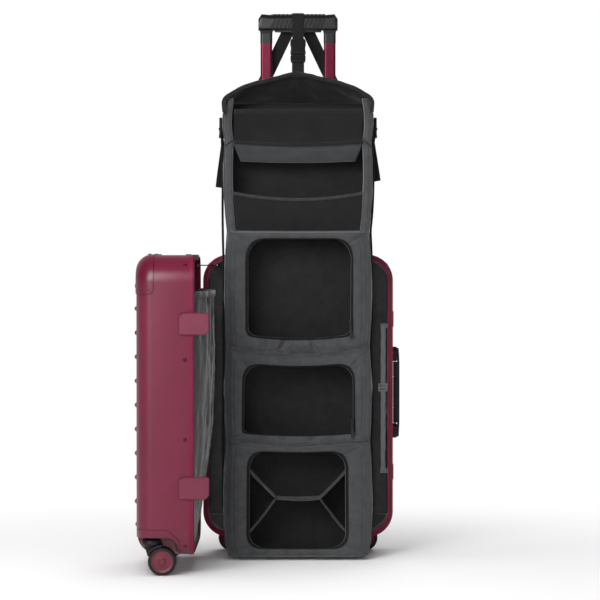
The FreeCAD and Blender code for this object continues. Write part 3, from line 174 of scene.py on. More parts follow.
# Gives the cloth its thickness; the far side and the rim may have a finish of their own
def thicken(obj, wall, side=-1.0, back=0, rim=0):
    mod = obj.modifiers.new("wall", "SOLIDIFY")
    mod.thickness = wall / 1000
    mod.offset = side
    mod.material_offset = back
    mod.material_offset_rim = rim
    return toMesh(obj)


# A sheet of cloth on a rows x columns grid: the rule turns u, from -1 to 1 across, and v, from 0 to 1 along,
# into a point and its place on the UV map in mm
def clothSheet(name, grid, rule, finishes, wall, side=-1.0, back=0, rim=0, turned=False):
    rows, columns = grid
    spots = [rule(2 * c / (columns - 1) - 1, r / (rows - 1)) for r in range(rows) for c in range(columns)]
    points, uvs = zip(*spots)
    panel = newPiece(name, points, gridFaces(rows, columns, False, turned), finishes, uvs)
    return thicken(panel, wall, side, back, rim)


# Joins meshes into one piece
def merge(name, objs):
    made = bmesh.new()
    finishes = []
    for obj in objs:
        start = len(made.faces)
        made.from_mesh(obj.data)
        made.faces.ensure_lookup_table()
        for finish in obj.data.materials:
            if finish not in finishes:
                finishes.append(finish)
        for face in made.faces[start:]:
            face.material_index = finishes.index(obj.data.materials[face.material_index])
    mesh = bpy.data.meshes.new(name)
    made.to_mesh(mesh)
    made.free()
    for finish in finishes:
        mesh.materials.append(finish)
    for obj in objs:
        old = obj.data
        bpy.data.objects.remove(obj)
        bpy.data.meshes.remove(old)
    return linked(name, mesh)


# Joins sheets that have their thickness already
def mergeCloth(name, sheets):
    obj = merge(name, sheets)
    return obj


# A pair of sheets as one piece: sign is -1 on the left and 1 on the right, and one has its faces turned
def clothPair(name, grid, rule, wall, turnedSign):
    pair = []
    for sign in (-1, 1):
        pair.append(clothSheet(name, grid, lambda u, v: rule(sign, u, v), [greyCloth, blackLining], wall,
                               back=1, turned=sign == turnedSign))
    return mergeCloth(name, pair)


# Points round a corner (x, z, radius) of a line, nearer its middle if they are bowed
def cornerArc(corners, i, steps, bowed):
    x, z, radius = corners[i]
    here = Vector((x, z))
    back = (Vector(corners[i - 1][:2]) - here).normalized()
    ahead = (Vector(corners[(i + 1) % len(corners)][:2]) - here).normalized()
    angle = back.angle(ahead) / 2
    reach = radius / math.tan(angle)
    middle = here + (back + ahead).normalized() * radius / math.sin(angle)
    arc = []
    for k in range(steps + 1):
        t = k / steps
        first = here + back * reach * (1 - t if bowed else 1)
        last = here + ahead * reach * (t if bowed else 1)
        spot = first.lerp(last, t)
        arc.append(middle + (spot - middle).normalized() * radius if radius else here)
    return arc


# Points at some shares of the length of a line
def evenSpots(line, shares):
    lengths = [0]
    for a, b in zip(line, line[1:]):
        lengths.append(lengths[-1] + (b - a).length)
    spots = []
    for share in shares:
        goal = lengths[-1] * share
        j = max(n for n in range(len(line) - 1) if lengths[n] <= goal)
        step = lengths[j + 1] - lengths[j]
        spots.append(line[j].lerp(line[j + 1], (goal - lengths[j]) / step if step else 0))
    return spots


# Loop of points round a rounded opening, one run for each side, from corner to corner
def roundedLoop(corners, perSide):
    arcs = [cornerArc(corners, i, 8, True) for i in range(len(corners))]
    loop = []
    for arc, following in zip(arcs, arcs[1:] + arcs[:1]):
        loop += evenSpots(arc[4:] + following[:5], [k / perSide for k in range(perSide)])
    return loop


# Points at even steps along an open line of corners, whose ends have no radius
def roundedPath(corners, count):
    line = [spot for i in range(len(corners)) for spot in cornerArc(corners, i, 12, False)]
    return evenSpots(line, [k / (count - 1) for k in range(count)])


def curveThrough(spots, steps):
    made = []
    for i in range(len(spots) - 1):
        p0, p1 = spots[max(i - 1, 0)], spots[i]
        p2, p3 = spots[i + 1], spots[min(i + 2, len(spots) - 1)]
        for k in range(steps):
            t = k / steps
            made.append(0.5 * (2 * p1 + (p2 - p0) * t + (2 * p0 - 5 * p1 + 4 * p2 - p3) * t * t
                               + (3 * p1 - p0 - 3 * p2 + p3) * t ** 3))
    return made + [spots[-1]]


def srgb(text):
    parts = [int(text[i:i + 2], 16) / 255 for i in (1, 3, 5)]
    return tuple(p / 12.92 if p <= 0.04045 else ((p + 0.055) / 1.055) ** 2.4 for p in parts) + (1.0,)


# Adds a node; a value is a setting, an input's own value, or what links to it (a node: its first output)
def addNode(tree, kind, values=None):
    node = tree.nodes.new(kind)
    for name, value in (values or {}).items():
        if isinstance(value, bpy.types.Node):
            value = value.outputs[0]
        if isinstance(value, bpy.types.NodeSocket):
            tree.links.new(value, node.inputs[name])
        elif isinstance(name, int) or name in node.inputs:
            node.inputs[name].default_value = value
        else:
            setattr(node, name, value)
    return node


def newFinish(name, **sockets):
    finish = bpy.data.materials.new(name)
    finish.use_nodes = True
    shader = finish.node_tree.nodes["Principled BSDF"]
    for socket, value in sockets.items():
        shader.inputs[socket.replace("_", " ")].default_value = value
    return finish, finish.node_tree, shader


# Ends a finish: its tone runs from dark to light over a span, and its relief bends the surface
def dress(tree, shader, tone, dark, light, span, relief):
    tint = addNode(tree, "ShaderNodeValToRGB", {"Fac": tone})
    for element, place, colour in zip(tint.color_ramp.elements, span, (dark, light)):
        element.position = place
        element.color = srgb(colour)
    tree.links.new(tint.outputs["Color"], shader.inputs["Base Color"])
    tree.links.new(relief.outputs["Normal"], shader.inputs["Normal"])


# Scale of a wave texture whose bands are some mm apart on a UV map in mm
def waveScale(spacing):
    return 2 * math.pi / 20 / spacing


drift = 60.0  # size in mm of the slow change of colour in a hard finish


# Hard finishes: a base colour that drifts a little, and a fine grain in the roughness and the bump;
# bow gives the axis, middle, span and rise in mm of walls that stand a little proud at their middle
def hardFinish(name, dark, light, roughness, grain, bump, stretch=(1, 1, 1), bow=None, **sockets):
    finish, tree, shader = newFinish(name, **sockets)
    place = addNode(tree, "ShaderNodeTexCoord").outputs["Object"]
    turned = addNode(tree, "ShaderNodeMapping", {"Scale": stretch, "Vector": place})
    broad = addNode(tree, "ShaderNodeTexNoise", {"Scale": 1000 / drift, "Detail": 3.0, "Vector": place})
    fine = addNode(tree, "ShaderNodeTexNoise", {"Scale": 1000 / grain, "Detail": 4.0, "Roughness": 0.6,
                                                "Vector": turned})
    rough = addNode(tree, "ShaderNodeMapRange", {"To Min": roughness - 0.05, "To Max": roughness + 0.06,
                                                 "Value": fine})
    relief = addNode(tree, "ShaderNodeBump", {"Strength": 0.5, "Distance": bump / 1000, "Height": fine})
    if bow:
        axis, middle, span, rise = bow
        parts = addNode(tree, "ShaderNodeSeparateXYZ", {"Vector": place})
        along = addNode(tree, "ShaderNodeMath", {"operation": "SUBTRACT", 0: parts.outputs[axis],
                                                 1: middle / 1000})
        phase = addNode(tree, "ShaderNodeMath", {"operation": "MULTIPLY", 0: along, 1: math.pi * 1000 / span})
        swell = addNode(tree, "ShaderNodeMath", {"operation": "COSINE", 0: phase})
        wall = addNode(tree, "ShaderNodeBump", {"Strength": 1.0, "Distance": rise / 1000, "Height": swell})
        tree.links.new(wall.outputs["Normal"], relief.inputs["Normal"])
    tree.links.new(rough.outputs["Result"], shader.inputs["Roughness"])
    dress(tree, shader, broad, dark, light, (0.3, 0.72), relief)
    return finish


# Cloth: crossing threads on the UV map (in mm), soft creases, and lint that drifts in tone
def clothFinish(name, dark, light, thread, relief, creases, roughness=0.86, twill=True, **sockets):
    finish, tree, shader = newFinish(name, Roughness=roughness, Specular_IOR_Level=0.22, **sockets)
    place = addNode(tree, "ShaderNodeTexCoord")
    turn = addNode(tree, "ShaderNodeMapping", {"Rotation": (0, 0, math.radians(45 if twill else 0)),
                                               "Vector": place.outputs["UV"]})
    waves = []
    for direction, spacing in (("X", thread), ("Y", thread * 1.6)):
        wave = addNode(tree, "ShaderNodeTexWave", {"bands_direction": direction, "Scale": waveScale(spacing),
                                                   "Distortion": 0.4, "Detail": 1.0, "Vector": turn})
        waves.append(wave.outputs["Fac"])
    weave = addNode(tree, "ShaderNodeMath", {"operation": "MULTIPLY", 0: waves[0], 1: waves[1]})
    lint = addNode(tree, "ShaderNodeTexNoise", {"Scale": 1000 / 18, "Detail": 5.0, "Roughness": 0.7,
                                                "Vector": place.outputs["Object"]})
    tone = addNode(tree, "ShaderNodeMath", {"operation": "MULTIPLY_ADD", 0: weave, 1: 0.35, 2: lint})
    folds = addNode(tree, "ShaderNodeTexNoise", {"Scale": 1000 / 34, "Detail": 3.0, "Distortion": 0.8,
                                                 "Vector": place.outputs["Object"]})
    soft = addNode(tree, "ShaderNodeBump", {"Strength": 0.6, "Distance": creases / 1000, "Height": folds})
    threads = addNode(tree, "ShaderNodeBump", {"Strength": 0.5, "Distance": relief / 1000, "Height": weave,
                                               "Normal": soft})
    dress(tree, shader, tone, dark, light, (0.35, 0.95), threads)
    return finish


# Webbing: ribs across the strap and cords along it every few mm, on the UV map (u across, v along, in mm)
def webbingFinish(name, dark, light, rib, cord=2.4):
    finish, tree, shader = newFinish(name, Roughness=0.72, Specular_IOR_Level=0.2, Sheen_Weight=0.05,
                                     Sheen_Roughness=0.5)
    flat = addNode(tree, "ShaderNodeTexCoord").outputs["UV"]
    ribs = addNode(tree, "ShaderNodeTexWave", {"bands_direction": "Y", "Scale": waveScale(rib),
                                               "Distortion": 0.3, "Detail": 1.0, "Vector": flat})
    cords = addNode(tree, "ShaderNodeTexWave", {"bands_direction": "X", "Scale": waveScale(cord),
                                                "Vector": flat})
    both = addNode(tree, "ShaderNodeMath", {"operation": "MULTIPLY_ADD", 0: ribs.outputs["Fac"], 1: 0.6,
                                            2: cords.outputs["Fac"]})
    relief = addNode(tree, "ShaderNodeBump", {"Strength": 0.6, "Distance": 0.0004, "Height": both})
    dress(tree, shader, both, dark, light, (0.0, 1.0), relief)
    return finish


# Where the walls of each half bow: across the depth of the lid (it stands open) and of the rear half
lidLow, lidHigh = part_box("lid_shell")
rearLow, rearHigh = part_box("rear_shell")
wallRise = 2.4
lidBow = ("X", (lidLow[0] + lidHigh[0]) * 500, (lidHigh[0] - lidLow[0]) * 1000, wallRise)
rearBow = ("Y", (rearLow[1] + rearHigh[1]) * 500, (rearHigh[1] - rearLow[1]) * 1000, wallRise)


# Polycarbonate, pressed from textured sheet: a satin skin with a fine leathery grain
def pressedShell(name, bow):
    return hardFinish(name, "#590925", "#620E2E", 0.35, 0.9, 0.04, bow=bow)


# Polycarbonate injection moulded in the same colour: a touch smoother than the pressed sheet
def mouldedShell(name, bow):
    return hardFinish(name, "#550824", "#5E0D2B", 0.33, 0.7, 0.03, bow=bow)


rearPressed = pressedShell("Polycarbonate burgundy pressed, rear", rearBow)
lidPressed = pressedShell("Polycarbonate burgundy pressed, lid", lidBow)
rearMoulded = mouldedShell("Polycarbonate burgundy moulded, rear", rearBow)
lidMoulded = mouldedShell("Polycarbonate burgundy moulded, lid", lidBow)
# Anodised aluminium, extruded and satin brushed along its length: dyed metal with soft streaks
burgundyMetal = hardFinish("Anodised aluminium burgundy", "#580E27", "#63152E", 0.3, 1.6, 0.02,
                           stretch=(1, 1, 0.05), Metallic=0.72)
# Die-cast zinc of the latches, painted and baked: an even satin
castLatch = hardFinish("Zinc die-cast burgundy", "#5E1B30", "#682238", 0.42, 1.2, 0.02, Metallic=0.2)
# Anodised aluminium of the rim, a drawn section: duller than the tubes
rimMetal = hardFinish("Anodised aluminium rim", "#64162F", "#6F1D37", 0.42, 1.2, 0.02, Metallic=0.15,
                      Specular_IOR_Level=0.2)
# ABS wheel hub, moulded and satin
hubPlastic = hardFinish("ABS burgundy hub", "#520F23", "#5B152B", 0.42, 0.8, 0.04)
# ABS, moulded black with a spark-eroded grain
blackPlastic = hardFinish("ABS black moulded", "#0F0F10", "#161617", 0.42, 0.8, 0.04, Specular_IOR_Level=0.3)
# Acetal buckle and slider, smooth moulded, a little greasy in their shine
buckleAcetal = hardFinish("Acetal black buckle", "#0F0F10", "#161617", 0.36, 1.2, 0.02,
                          Specular_IOR_Level=0.3)
greyAcetal = hardFinish("Acetal grey slider", "#6A6A6C", "#78787A", 0.4, 1.2, 0.02)
# Polyurethane tyre, matt and dusty
tyreRubber = hardFinish("Polyurethane black tyre", "#0F0F10", "#161617", 0.58, 0.9, 0.06,
                        Specular_IOR_Level=0.3)
# EPDM rubber of the feet and palm pads, matt
sealRubber = hardFinish("EPDM black rubber", "#151515", "#1C1C1C", 0.68, 1.0, 0.05)
# EPDM rubber cord of the rim, coloured in the mass
rimRubber = hardFinish("EPDM burgundy cord", "#470A1C", "#520F24", 0.6, 1.0, 0.04)
# Nylon grip, moulded smooth and handled, so it shines along its edges
gripNylon = hardFinish("Nylon black grip", "#0E0E0F", "#151516", 0.3, 1.4, 0.03, Specular_IOR_Level=0.35)
# Zinc-plated steel, pressed and tumbled: bright but not mirrored
platedSteel = hardFinish("Zinc plated steel", "#8E8E90", "#A2A2A4", 0.32, 1.0, 0.02, Metallic=1.0)
# Die-cast zinc zip slider with a black electrophoretic coat
blackZinc = hardFinish("Zinc die-cast black", "#202022", "#2C2C2E", 0.3, 0.8, 0.02, Metallic=0.6)
# Spring steel stay, bright drawn
stayWire = hardFinish("Spring steel bright", "#9A9A9C", "#B0B0B2", 0.26, 1.0, 0.01, Metallic=1.0)
# Polyester twill, dark grey; the threads are drawn at 2.4 mm, coarser than real, so that they show
greyCloth = clothFinish("Polyester twill dark grey", "#333436", "#47484A", 2.4, 0.22, 1.6, Sheen_Weight=0.25,
                        Sheen_Roughness=0.45)
# Polyester twill of the lid's panel, dyed darker and slack; its threads are drawn as coarse
darkCloth = clothFinish("Polyester twill charcoal", "#262627", "#3A3A3B", 2.4, 0.22, 2.2, Sheen_Weight=0.3,
                        Sheen_Roughness=0.4)
# Polyester taffeta lining, black and thin, so it creases more; threads at 1.8 mm, coarser than real
blackLining = clothFinish("Polyester taffeta black", "#121213", "#1F1F20", 1.8, 0.12, 2.6, roughness=0.7,
                          twill=False, Sheen_Weight=0.1)
# Polyester taffeta of the case's own lining, dark grey with a dull shine, crumpled
greyLining = clothFinish("Polyester taffeta dark grey", "#3E3E40", "#505052", 1.8, 0.12, 4.5, roughness=0.55,
                         twill=False, Sheen_Weight=0.2)
# Grosgrain binding tape round the cut edges
bindingTape = clothFinish("Grosgrain tape black", "#121213", "#1D1D1E", 1.8, 0.2, 0.4, twill=False,
                          Sheen_Weight=0.15)
# Power-stretch knit, flat black
stretchKnit = clothFinish("Elastane knit black", "#0F0F10", "#181819", 1.6, 0.16, 0.5, roughness=0.92,
                          Sheen_Weight=0.2)
# Raschel net, nylon
netNylon = hardFinish("Nylon raschel net black", "#161617", "#202021", 0.6, 1.0, 0.02)
# Nylon coil zip, black
coilNylon = hardFinish("Nylon zip coil black", "#101011", "#18181A", 0.5, 0.8, 0.02, Specular_IOR_Level=0.15)
# Spun polyester sewing thread
threadGrey = hardFinish("Polyester thread grey", "#4A4B4D", "#5A5B5D", 0.7, 0.6, 0.02)
threadBlack = hardFinish("Polyester thread black", "#232324", "#2E2E2F", 0.7, 0.6, 0.02)
# Polypropylene webbing, ribbed across
blackWebbing = webbingFinish("Polypropylene webbing black", "#0F0F10", "#181819", 1.8)
greyWebbing = webbingFinish("Polypropylene webbing grey", "#565658", "#747476", 1.8)
print("finishes ready")

cadFinishes = {
    rearPressed: ["rear_shell"],
    lidPressed: ["lid_shell"],
    rearMoulded: ["rear_corner_guards", "rear_wheel_housings"],
    lidMoulded: ["lid_corner_guards", "lid_wheel_housings"],
    burgundyMetal: ["inner_tubes", "middle_tubes", "outer_tubes", "rear_rivets", "lid_rivets"],
    castLatch: ["upper_latch", "lower_latch", "latch_bases", "latch_keepers"],
    rimMetal: ["rear_frame", "lid_frame"],
    blackPlastic: ["handle_tray", "tube_foot", "carry_handle_mounts", "side_handle", "top_handle",
                   "release_bar", *(n for n in nodes if n.endswith("_fork"))],
    gripNylon: ["handle_grip"],
    platedSteel: ["hinge_pins", "rear_hinge_leaves", "lid_hinge_leaves"],
    greyAcetal: ["packing_slider"],
    sealRubber: ["side_feet"],
    rimRubber: ["rim_seal"],
    hubPlastic: [n for n in nodes if n.endswith("_hubs")],
    tyreRubber: [n for n in nodes if n.endswith("_tyres")],
}
for finish, names in cadFinishes.items():
    for name in names:
        nodes[name].data.materials.clear()
        nodes[name].data.materials.append(finish)
print("CAD pieces finished:", sum(len(n) for n in cadFinishes.values()))


# Starts a tree on a path mesh, with named inputs for its sizes and its finish
def openTree(name, sizes):
    tree = bpy.data.node_groups.new(name, "GeometryNodeTree")
    keys = {}
    for label, kind in {"Path": "Geometry", **sizes, "Finish": "Material"}.items():
        socket = tree.interface.new_socket(name=label, in_out="INPUT", socket_type="NodeSocket" + kind)
        keys[label] = socket.identifier
    tree.interface.new_socket(name="Geometry", in_out="OUTPUT", socket_type="NodeSocketGeometry")
    given = addNode(tree, "NodeGroupInput").outputs
    curve = addNode(tree, "GeometryNodeMeshToCurve", {"Mesh": given["Path"]})
    return tree, keys, given, curve


def closeTree(tree, given, made):
    real = addNode(tree, "GeometryNodeRealizeInstances", {"Geometry": made})
    dyed = addNode(tree, "GeometryNodeSetMaterial", {"Geometry": real, "Material": given["Finish"]})
    addNode(tree, "NodeGroupOutput", {"Geometry": dyed})


# Sets a small bead or bar at even steps along the edges of a path, turned along it
def repeatTree():
    tree, keys, given, curve = openTree("repeatAlongPath", {"Step": "Float", "Size": "Vector"})
    steps = addNode(tree, "GeometryNodeResampleCurve", {"mode": "LENGTH", "Curve": curve,
                                                        "Length": given["Step"]})
    bead = addNode(tree, "GeometryNodeMeshIcoSphere", {"Radius": 0.5, "Subdivisions": 2})
    along = addNode(tree, "GeometryNodeInputTangent")
    turn = addNode(tree, "FunctionNodeAlignRotationToVector", {"axis": "X", "Vector": along})
    placed = addNode(tree, "GeometryNodeInstanceOnPoints", {"Points": steps, "Instance": bead,
                                                            "Rotation": turn, "Scale": given["Size"]})
    closeTree(tree, given, placed)
    return tree, keys


# Turns every edge of a drawn lattice into a round thread
def threadTree():
    tree, keys, given, curve = openTree("threadLattice", {"Radius": "Float", "Sides": "Int"})
    profile = addNode(tree, "GeometryNodeCurvePrimitiveCircle", {"Radius": given["Radius"],
                                                                 "Resolution": given["Sides"]})
    tube = addNode(tree, "GeometryNodeCurveToMesh", {"Fill Caps": True, "Curve": curve,
                                                     "Profile Curve": profile})
    closeTree(tree, given, tube)
    return tree, keys


# Sets a socket-head screw at the start of each line, facing along it: a ring with a sunk floor
def headTree():
    tree, keys, given, curve = openTree("headOnSeat", {"Radius": "Float"})
    middle = addNode(tree, "ShaderNodeMath", {"operation": "MULTIPLY", 0: given["Radius"], 1: 0.68})
    wide = addNode(tree, "ShaderNodeMath", {"operation": "MULTIPLY", 0: given["Radius"], 1: 0.64})
    path = addNode(tree, "GeometryNodeCurvePrimitiveCircle", {"Resolution": 14, "Radius": middle})
    profile = addNode(tree, "GeometryNodeCurvePrimitiveQuadrilateral", {"Width": wide, "Height": wide})
    ring = addNode(tree, "GeometryNodeCurveToMesh", {"Curve": path, "Profile Curve": profile})
    base = addNode(tree, "GeometryNodeMeshCircle", {"fill_type": "NGON", "Vertices": 14, "Radius": middle})
    head = addNode(tree, "GeometryNodeJoinGeometry", {"Geometry": ring})
    tree.links.new(base.outputs["Mesh"], head.inputs["Geometry"])
    along = addNode(tree, "GeometryNodeInputTangent")
    turn = addNode(tree, "FunctionNodeAlignRotationToVector", {"axis": "Z", "Vector": along})
    first = addNode(tree, "GeometryNodeCurveEndpointSelection", {"Start Size": 1, "End Size": 0})
    placed = addNode(tree, "GeometryNodeInstanceOnPoints", {"Points": curve, "Selection": first,
                                                            "Instance": head, "Rotation": turn})
    closeTree(tree, given, placed)
    return tree, keys


repeatAlong = repeatTree()
threadOut = threadTree()
headOnSeat = headTree()


# Runs a tree on a path mesh and keeps the plain mesh
def grow(name, lines, treeAndKeys, values, closed=False):
    tree, keys = treeAndKeys
    points, edges = [], []
    for line in lines:
        first = len(points)
        points += line
        edges += [(first + i, first + i + 1) for i in range(len(line) - 1)]
        if closed:
            edges.append((len(points) - 1, first))
    mesh = bpy.data.meshes.new(name)
    mesh.from_pydata(points, edges, [])
    obj = linked(name, mesh)
    mod = obj.modifiers.new("grow", "NODES")
    mod.node_group = tree
    for label, value in values.items():
        mod[keys[label]] = value
    toMesh(obj)
    obj.data.shade_smooth()
    return obj


def stitches(name, lines, finish, step=4.4, length=3.0, thick=0.9, closed=False):
    size = (length / 1000, thick / 1000, thick / 1000)
    return grow(name, lines, repeatAlong, {"Step": step / 1000, "Size": size, "Finish": finish}, closed)


def piping(name, lines, radius, finish, closed=False, sides=8):
    return grow(name, lines, threadOut, {"Radius": radius / 1000, "Sides": sides, "Finish": finish}, closed)


# A flat tape along a line of points, its width in one direction or in one for each point
def tapeAlong(name, spots, width, thick, finish, sideways=(1, 0, 0)):
    profile = []
    for k in range(10):
        c, s = math.cos(2 * math.pi * (k + 0.5) / 10), math.sin(2 * math.pi * (k + 0.5) / 10)
        across = math.copysign(abs(c) ** 0.3, c) * width / 2
        profile.append((across, math.copysign(abs(s) ** 0.8, s) * thick / 2))
    points, uvs, run = [], [], 0.0
    for i, spot in enumerate(spots):
        tangent = (spots[min(i + 1, len(spots) - 1)] - spots[max(i - 1, 0)]).normalized()
        side = Vector(sideways[i] if isinstance(sideways, list) else sideways)
        side = (side - tangent * side.dot(tangent)).normalized()
        normal = tangent.cross(side)
        if i:
            run += (spot - spots[i - 1]).length * 1000
        for a, b in profile:
            points.append(spot + side * a / 1000 + normal * b / 1000)
            uvs.append((a, run))
    count = len(profile)
    faces = gridFaces(len(spots), count, True)
    faces += [tuple(range(count))[::-1], tuple(range(len(points) - count, len(points)))]
    return rework(newPiece(name, points, faces, [finish], uvs), outward)


organiser = {"half": 133.0, "front": -94.0, "back": -4.0, "foot": 5.0, "bend": 575.0, "lean": 80.0,
             "shoulder": 846.0, "seams": (5.0, 219.0, 392.0, 604.0, 770.0), "wall": 1.2, "footRound": 24.0,
             "pinch": 2.0, "fill": 3.5, "piping": 1.3}
# How far the seams hang at mid width, and how much the sides stand out, by height
sagTable = ((5, 0), (26, 2), (219, 9), (300, 7), (392, 14), (430, 13), (590, 1), (604, 1), (770, 4), (830, 2),
            (900, 0))
flareTable = ((5, 0), (604, -2), (700, 1.5), (800, 4), (846, 4))
bays = list(zip(organiser["seams"], organiser["seams"][1:] + (organiser["shoulder"],)))


def lean(z):
    return organiser["lean"] * max(0, z - organiser["bend"]) / (organiser["shoulder"] - organiser["bend"])


def sag(x, z):
    return z - between(sagTable, z) * (1 - (x / organiser["half"]) ** 2)


# How full the organiser is at a height: nothing at a seam, one between two of them
def fullness(z):
    for low, high in bays:
        if low <= z <= high:
            return max(0, arch((z - low) / (high - low))) ** 0.7
    return 0


# Outer face of a side: pinched at the seams, full between them
def sideX(z):
    gap = max(0, organiser["footRound"] - (z - organiser["foot"]))
    turnUnder = organiser["footRound"] - math.sqrt(max(0, organiser["footRound"] ** 2 - gap ** 2))
    reach = organiser["half"] - organiser["pinch"] + organiser["fill"] * fullness(z)
    return reach + between(flareTable, z) - turnUnder


def foldDown(obj):
    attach(obj, "rear_case")
    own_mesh(obj)


# A zipped front rides with the rear half, on a mesh of its own; slope and level are not used
def tuckIn(obj, slope, level):
    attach(obj, "rear_case")
    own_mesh(obj)


# Zipped fronts: cloth between the opening and the outer seams, full in the middle, drawn in at the seams
zippedFronts = [
    {"name": "Low", "tuck": (0.6, 260), "low": 5, "high": 219, "corner": 24, "puff": 7.5, "gathers": 2.4,
     "seed": 1.3, "open": ((-89, 25, 26), (87, 25, 26), (86, 206, 34), (-88, 206, 34))},
    {"name": "Middle", "tuck": (0.6, 430), "low": 219, "high": 392, "corner": 2, "puff": 6.0, "gathers": 5.0,
     "seed": 5.1, "open": ((-99, 239, 7), (101, 239, 7), (100, 366, 34), (-97, 366, 34)),
     "pull": (99.0, 254.0)},
    {"name": "High", "tuck": (-0.6, 345), "low": 392, "high": 604, "corner": 2, "puff": 6.5, "gathers": 11.0,
     "seed": 9.7, "open": ((-91, 421, 14), (96, 421, 14), (97, 590, 36), (-91, 590, 36)),
     "pull": (96.0, 436.0)},
]
frontGrid = {"perSide": 64, "rings": 30, "tapeRings": 4, "zipRing": 2}
# Depths in mm, each with its width as a share of the way from opening to seam, or of a side; creases have
# their size in mm
frontForm = {"setBack": 4.0, "levelPuff": 0.75, "drawIn": (7.0, 0.28), "roll": (4.5, 0.14),
             "dart": (2.6, 0.016), "pleats": 17, "fan": 2.4, "crease": (1.5, 42), "fine": (0.6, 17)}
gusset = {"wide": 15.0, "round": 11.0, "groove": 1.8, "grooveWide": 2.0, "ends": 6}


# A point of a front: t goes from its opening to its outer seam, turn once round it
def frontPoint(front, inner, outer, t, turn):
    x, z = inner.lerp(outer, t)
    side, along = divmod(turn * 4, 1)
    level = side in (0, 2)
    puff = front["puff"] * (frontForm["levelPuff"] if level else 1.0) * arch(t ** 0.8) ** 0.8
    depth, share = frontForm["drawIn"]
    drawn = depth * fall(1 - t, share, 2.2) if level else 0
    fromSide = max(0, sideX(z) - abs(x))
    drawn = max(drawn, gusset["round"] * fall(fromSide, gusset["wide"], 1.8))
    drawn += gusset["groove"] * math.exp(-((fromSide - gusset["wide"]) / gusset["grooveWide"]) ** 2)
    depth, share = frontForm["roll"]
    y = organiser["front"] + frontForm["setBack"] - puff + drawn + depth * fall(t, share)
    # seam darts from the corners, and gathers above the lower seam
    depth, share = frontForm["dart"]
    y += depth * math.exp(-(min(along, 1 - along) / share) ** 2) * arch(min(t * 1.1, 1))
    if side == 0:
        fan = frontForm["fan"] * t * (along - 0.5)
        pleat = noise.noise(Vector((along * frontForm["pleats"] + front["seed"] + fan, 0.4, t * 0.5)))
        ends = smooth(0.08, 0.3, along) * smooth(0.08, 0.3, 1 - along)
        y -= front["gathers"] * (1 - 3.2 * abs(pleat)) * arch(t) * ends
    depth, size = frontForm["crease"]
    y -= depth * crease(x, 0, z * 0.7, size, front["seed"]) * arch(min(t * 1.05, 1))
    depth, size = frontForm["fine"]
    y -= depth * crease(x, z, 0, size, front["seed"] + 3) * arch(t)
    return x, y, z


perSide, rings = frontGrid["perSide"], frontGrid["rings"]
for front in zippedFronts:
    opening = roundedLoop(front["open"], perSide)
    half = sideX((front["low"] + front["high"]) / 2)
    rim = roundedLoop([(-half, front["low"], front["corner"]), (half, front["low"], front["corner"]),
                       (half, front["high"], 2), (-half, front["high"], 2)], perSide)
    for spot in rim:
        if abs(spot.x) > half - 1:
            spot.x = math.copysign(sideX(spot.y), spot.x)
    count = len(rim)
    spots = [frontPoint(front, opening[i], rim[i], k / (rings - 1), i / count)
             for k in range(rings) for i in range(count)]
    points = [at(x, y, sag(x, z)) for x, y, z in spots]
    panel = newPiece("organiserFront" + front["name"], points, gridFaces(rings, count, True, True),
                     [greyCloth, blackLining], [(x, z) for x, y, z in spots])
    for face in panel.data.polygons[:frontGrid["tapeRings"] * count]:
        face.material_index = 1
    front["cloth"] = thicken(panel, organiser["wall"], -1.0, 1, 1)
    front["zip"] = points[count * frontGrid["zipRing"]:count * (frontGrid["zipRing"] + 1)]
    front["darts"] = [[points[k * count + corner * perSide] for k in range(4, rings - 3)]
                      for corner in range(4)]
    front["gussets"] = []
    centre = at(0, 0, 0).x
    for first in (perSide + gusset["ends"], 3 * perSide + gusset["ends"]):
        line = []
        for i in range(first, first + perSide - 2 * gusset["ends"]):
            steps = points[i::count]
            seamX = abs(steps[-1].x - centre) - gusset["wide"] / 1000
            line.append(min(steps, key=lambda p: abs(seamX - abs(p.x - centre))))
        front["gussets"].append(moved(line, 0, -0.5, 0))
print("zipped fronts:", len(zippedFronts))

# Sides, from the front edge to the back, creased a little and flatter at the seams
sides = {"grid": (150, 22), "setBack": 13.0, "belly": 2.5, "flatter": 0.2, "crease": 1.6, "fine": 0.5}


def sideSpot(sign, u, v):
    t = (u + 1) / 2
    z = mix(organiser["foot"], organiser["shoulder"], v)
    y = mix(organiser["front"] + sides["setBack"], organiser["back"], t) + lean(z)
    wave = crease(0, y, z * 0.6, 48, 21 + sign) * sides["crease"]
    wave += crease(0, y, z, 20, 3 * sign) * sides["fine"]
    x = sideX(z) + arch(t) * (sides["belly"] + wave) * mix(sides["flatter"], 1, fullness(z))
    return at(sign * x, y, z), (y, z)


organiserSides = clothPair("organiserSides", sides["grid"], sideSpot, organiser["wall"], -1)

# Upright posts beside the open shelves, with a seam across each
posts = {"low": 596.0, "high": 852.0, "width": 16.5, "wall": 1.4, "seam": 773.0, "seamDrop": 14.0,
         "setBack": 5.0, "topBack": 8.0, "outerRound": 9.0, "innerRound": 5.0, "crease": 0.8, "belly": 2.5,
         "grid": (60, 12)}


def postSpot(sign, z, t):
    x = sideX(z) + 0.6 - posts["width"] * t
    y = organiser["front"] + lean(z) + posts["setBack"] + posts["topBack"] * smooth(826, 856, z)
    y += posts["outerRound"] * fall(t, 0.5) + posts["innerRound"] * fall(1 - t, 0.25)
    y += posts["crease"] * crease(x, 0, z, 36, 2.2 * sign) - posts["belly"] * arch(t)
    return at(sign * x, y, z), (x, z)


def postSheet(sign, u, v):
    return postSpot(sign, mix(posts["low"], posts["high"], v), (u + 1) / 2)


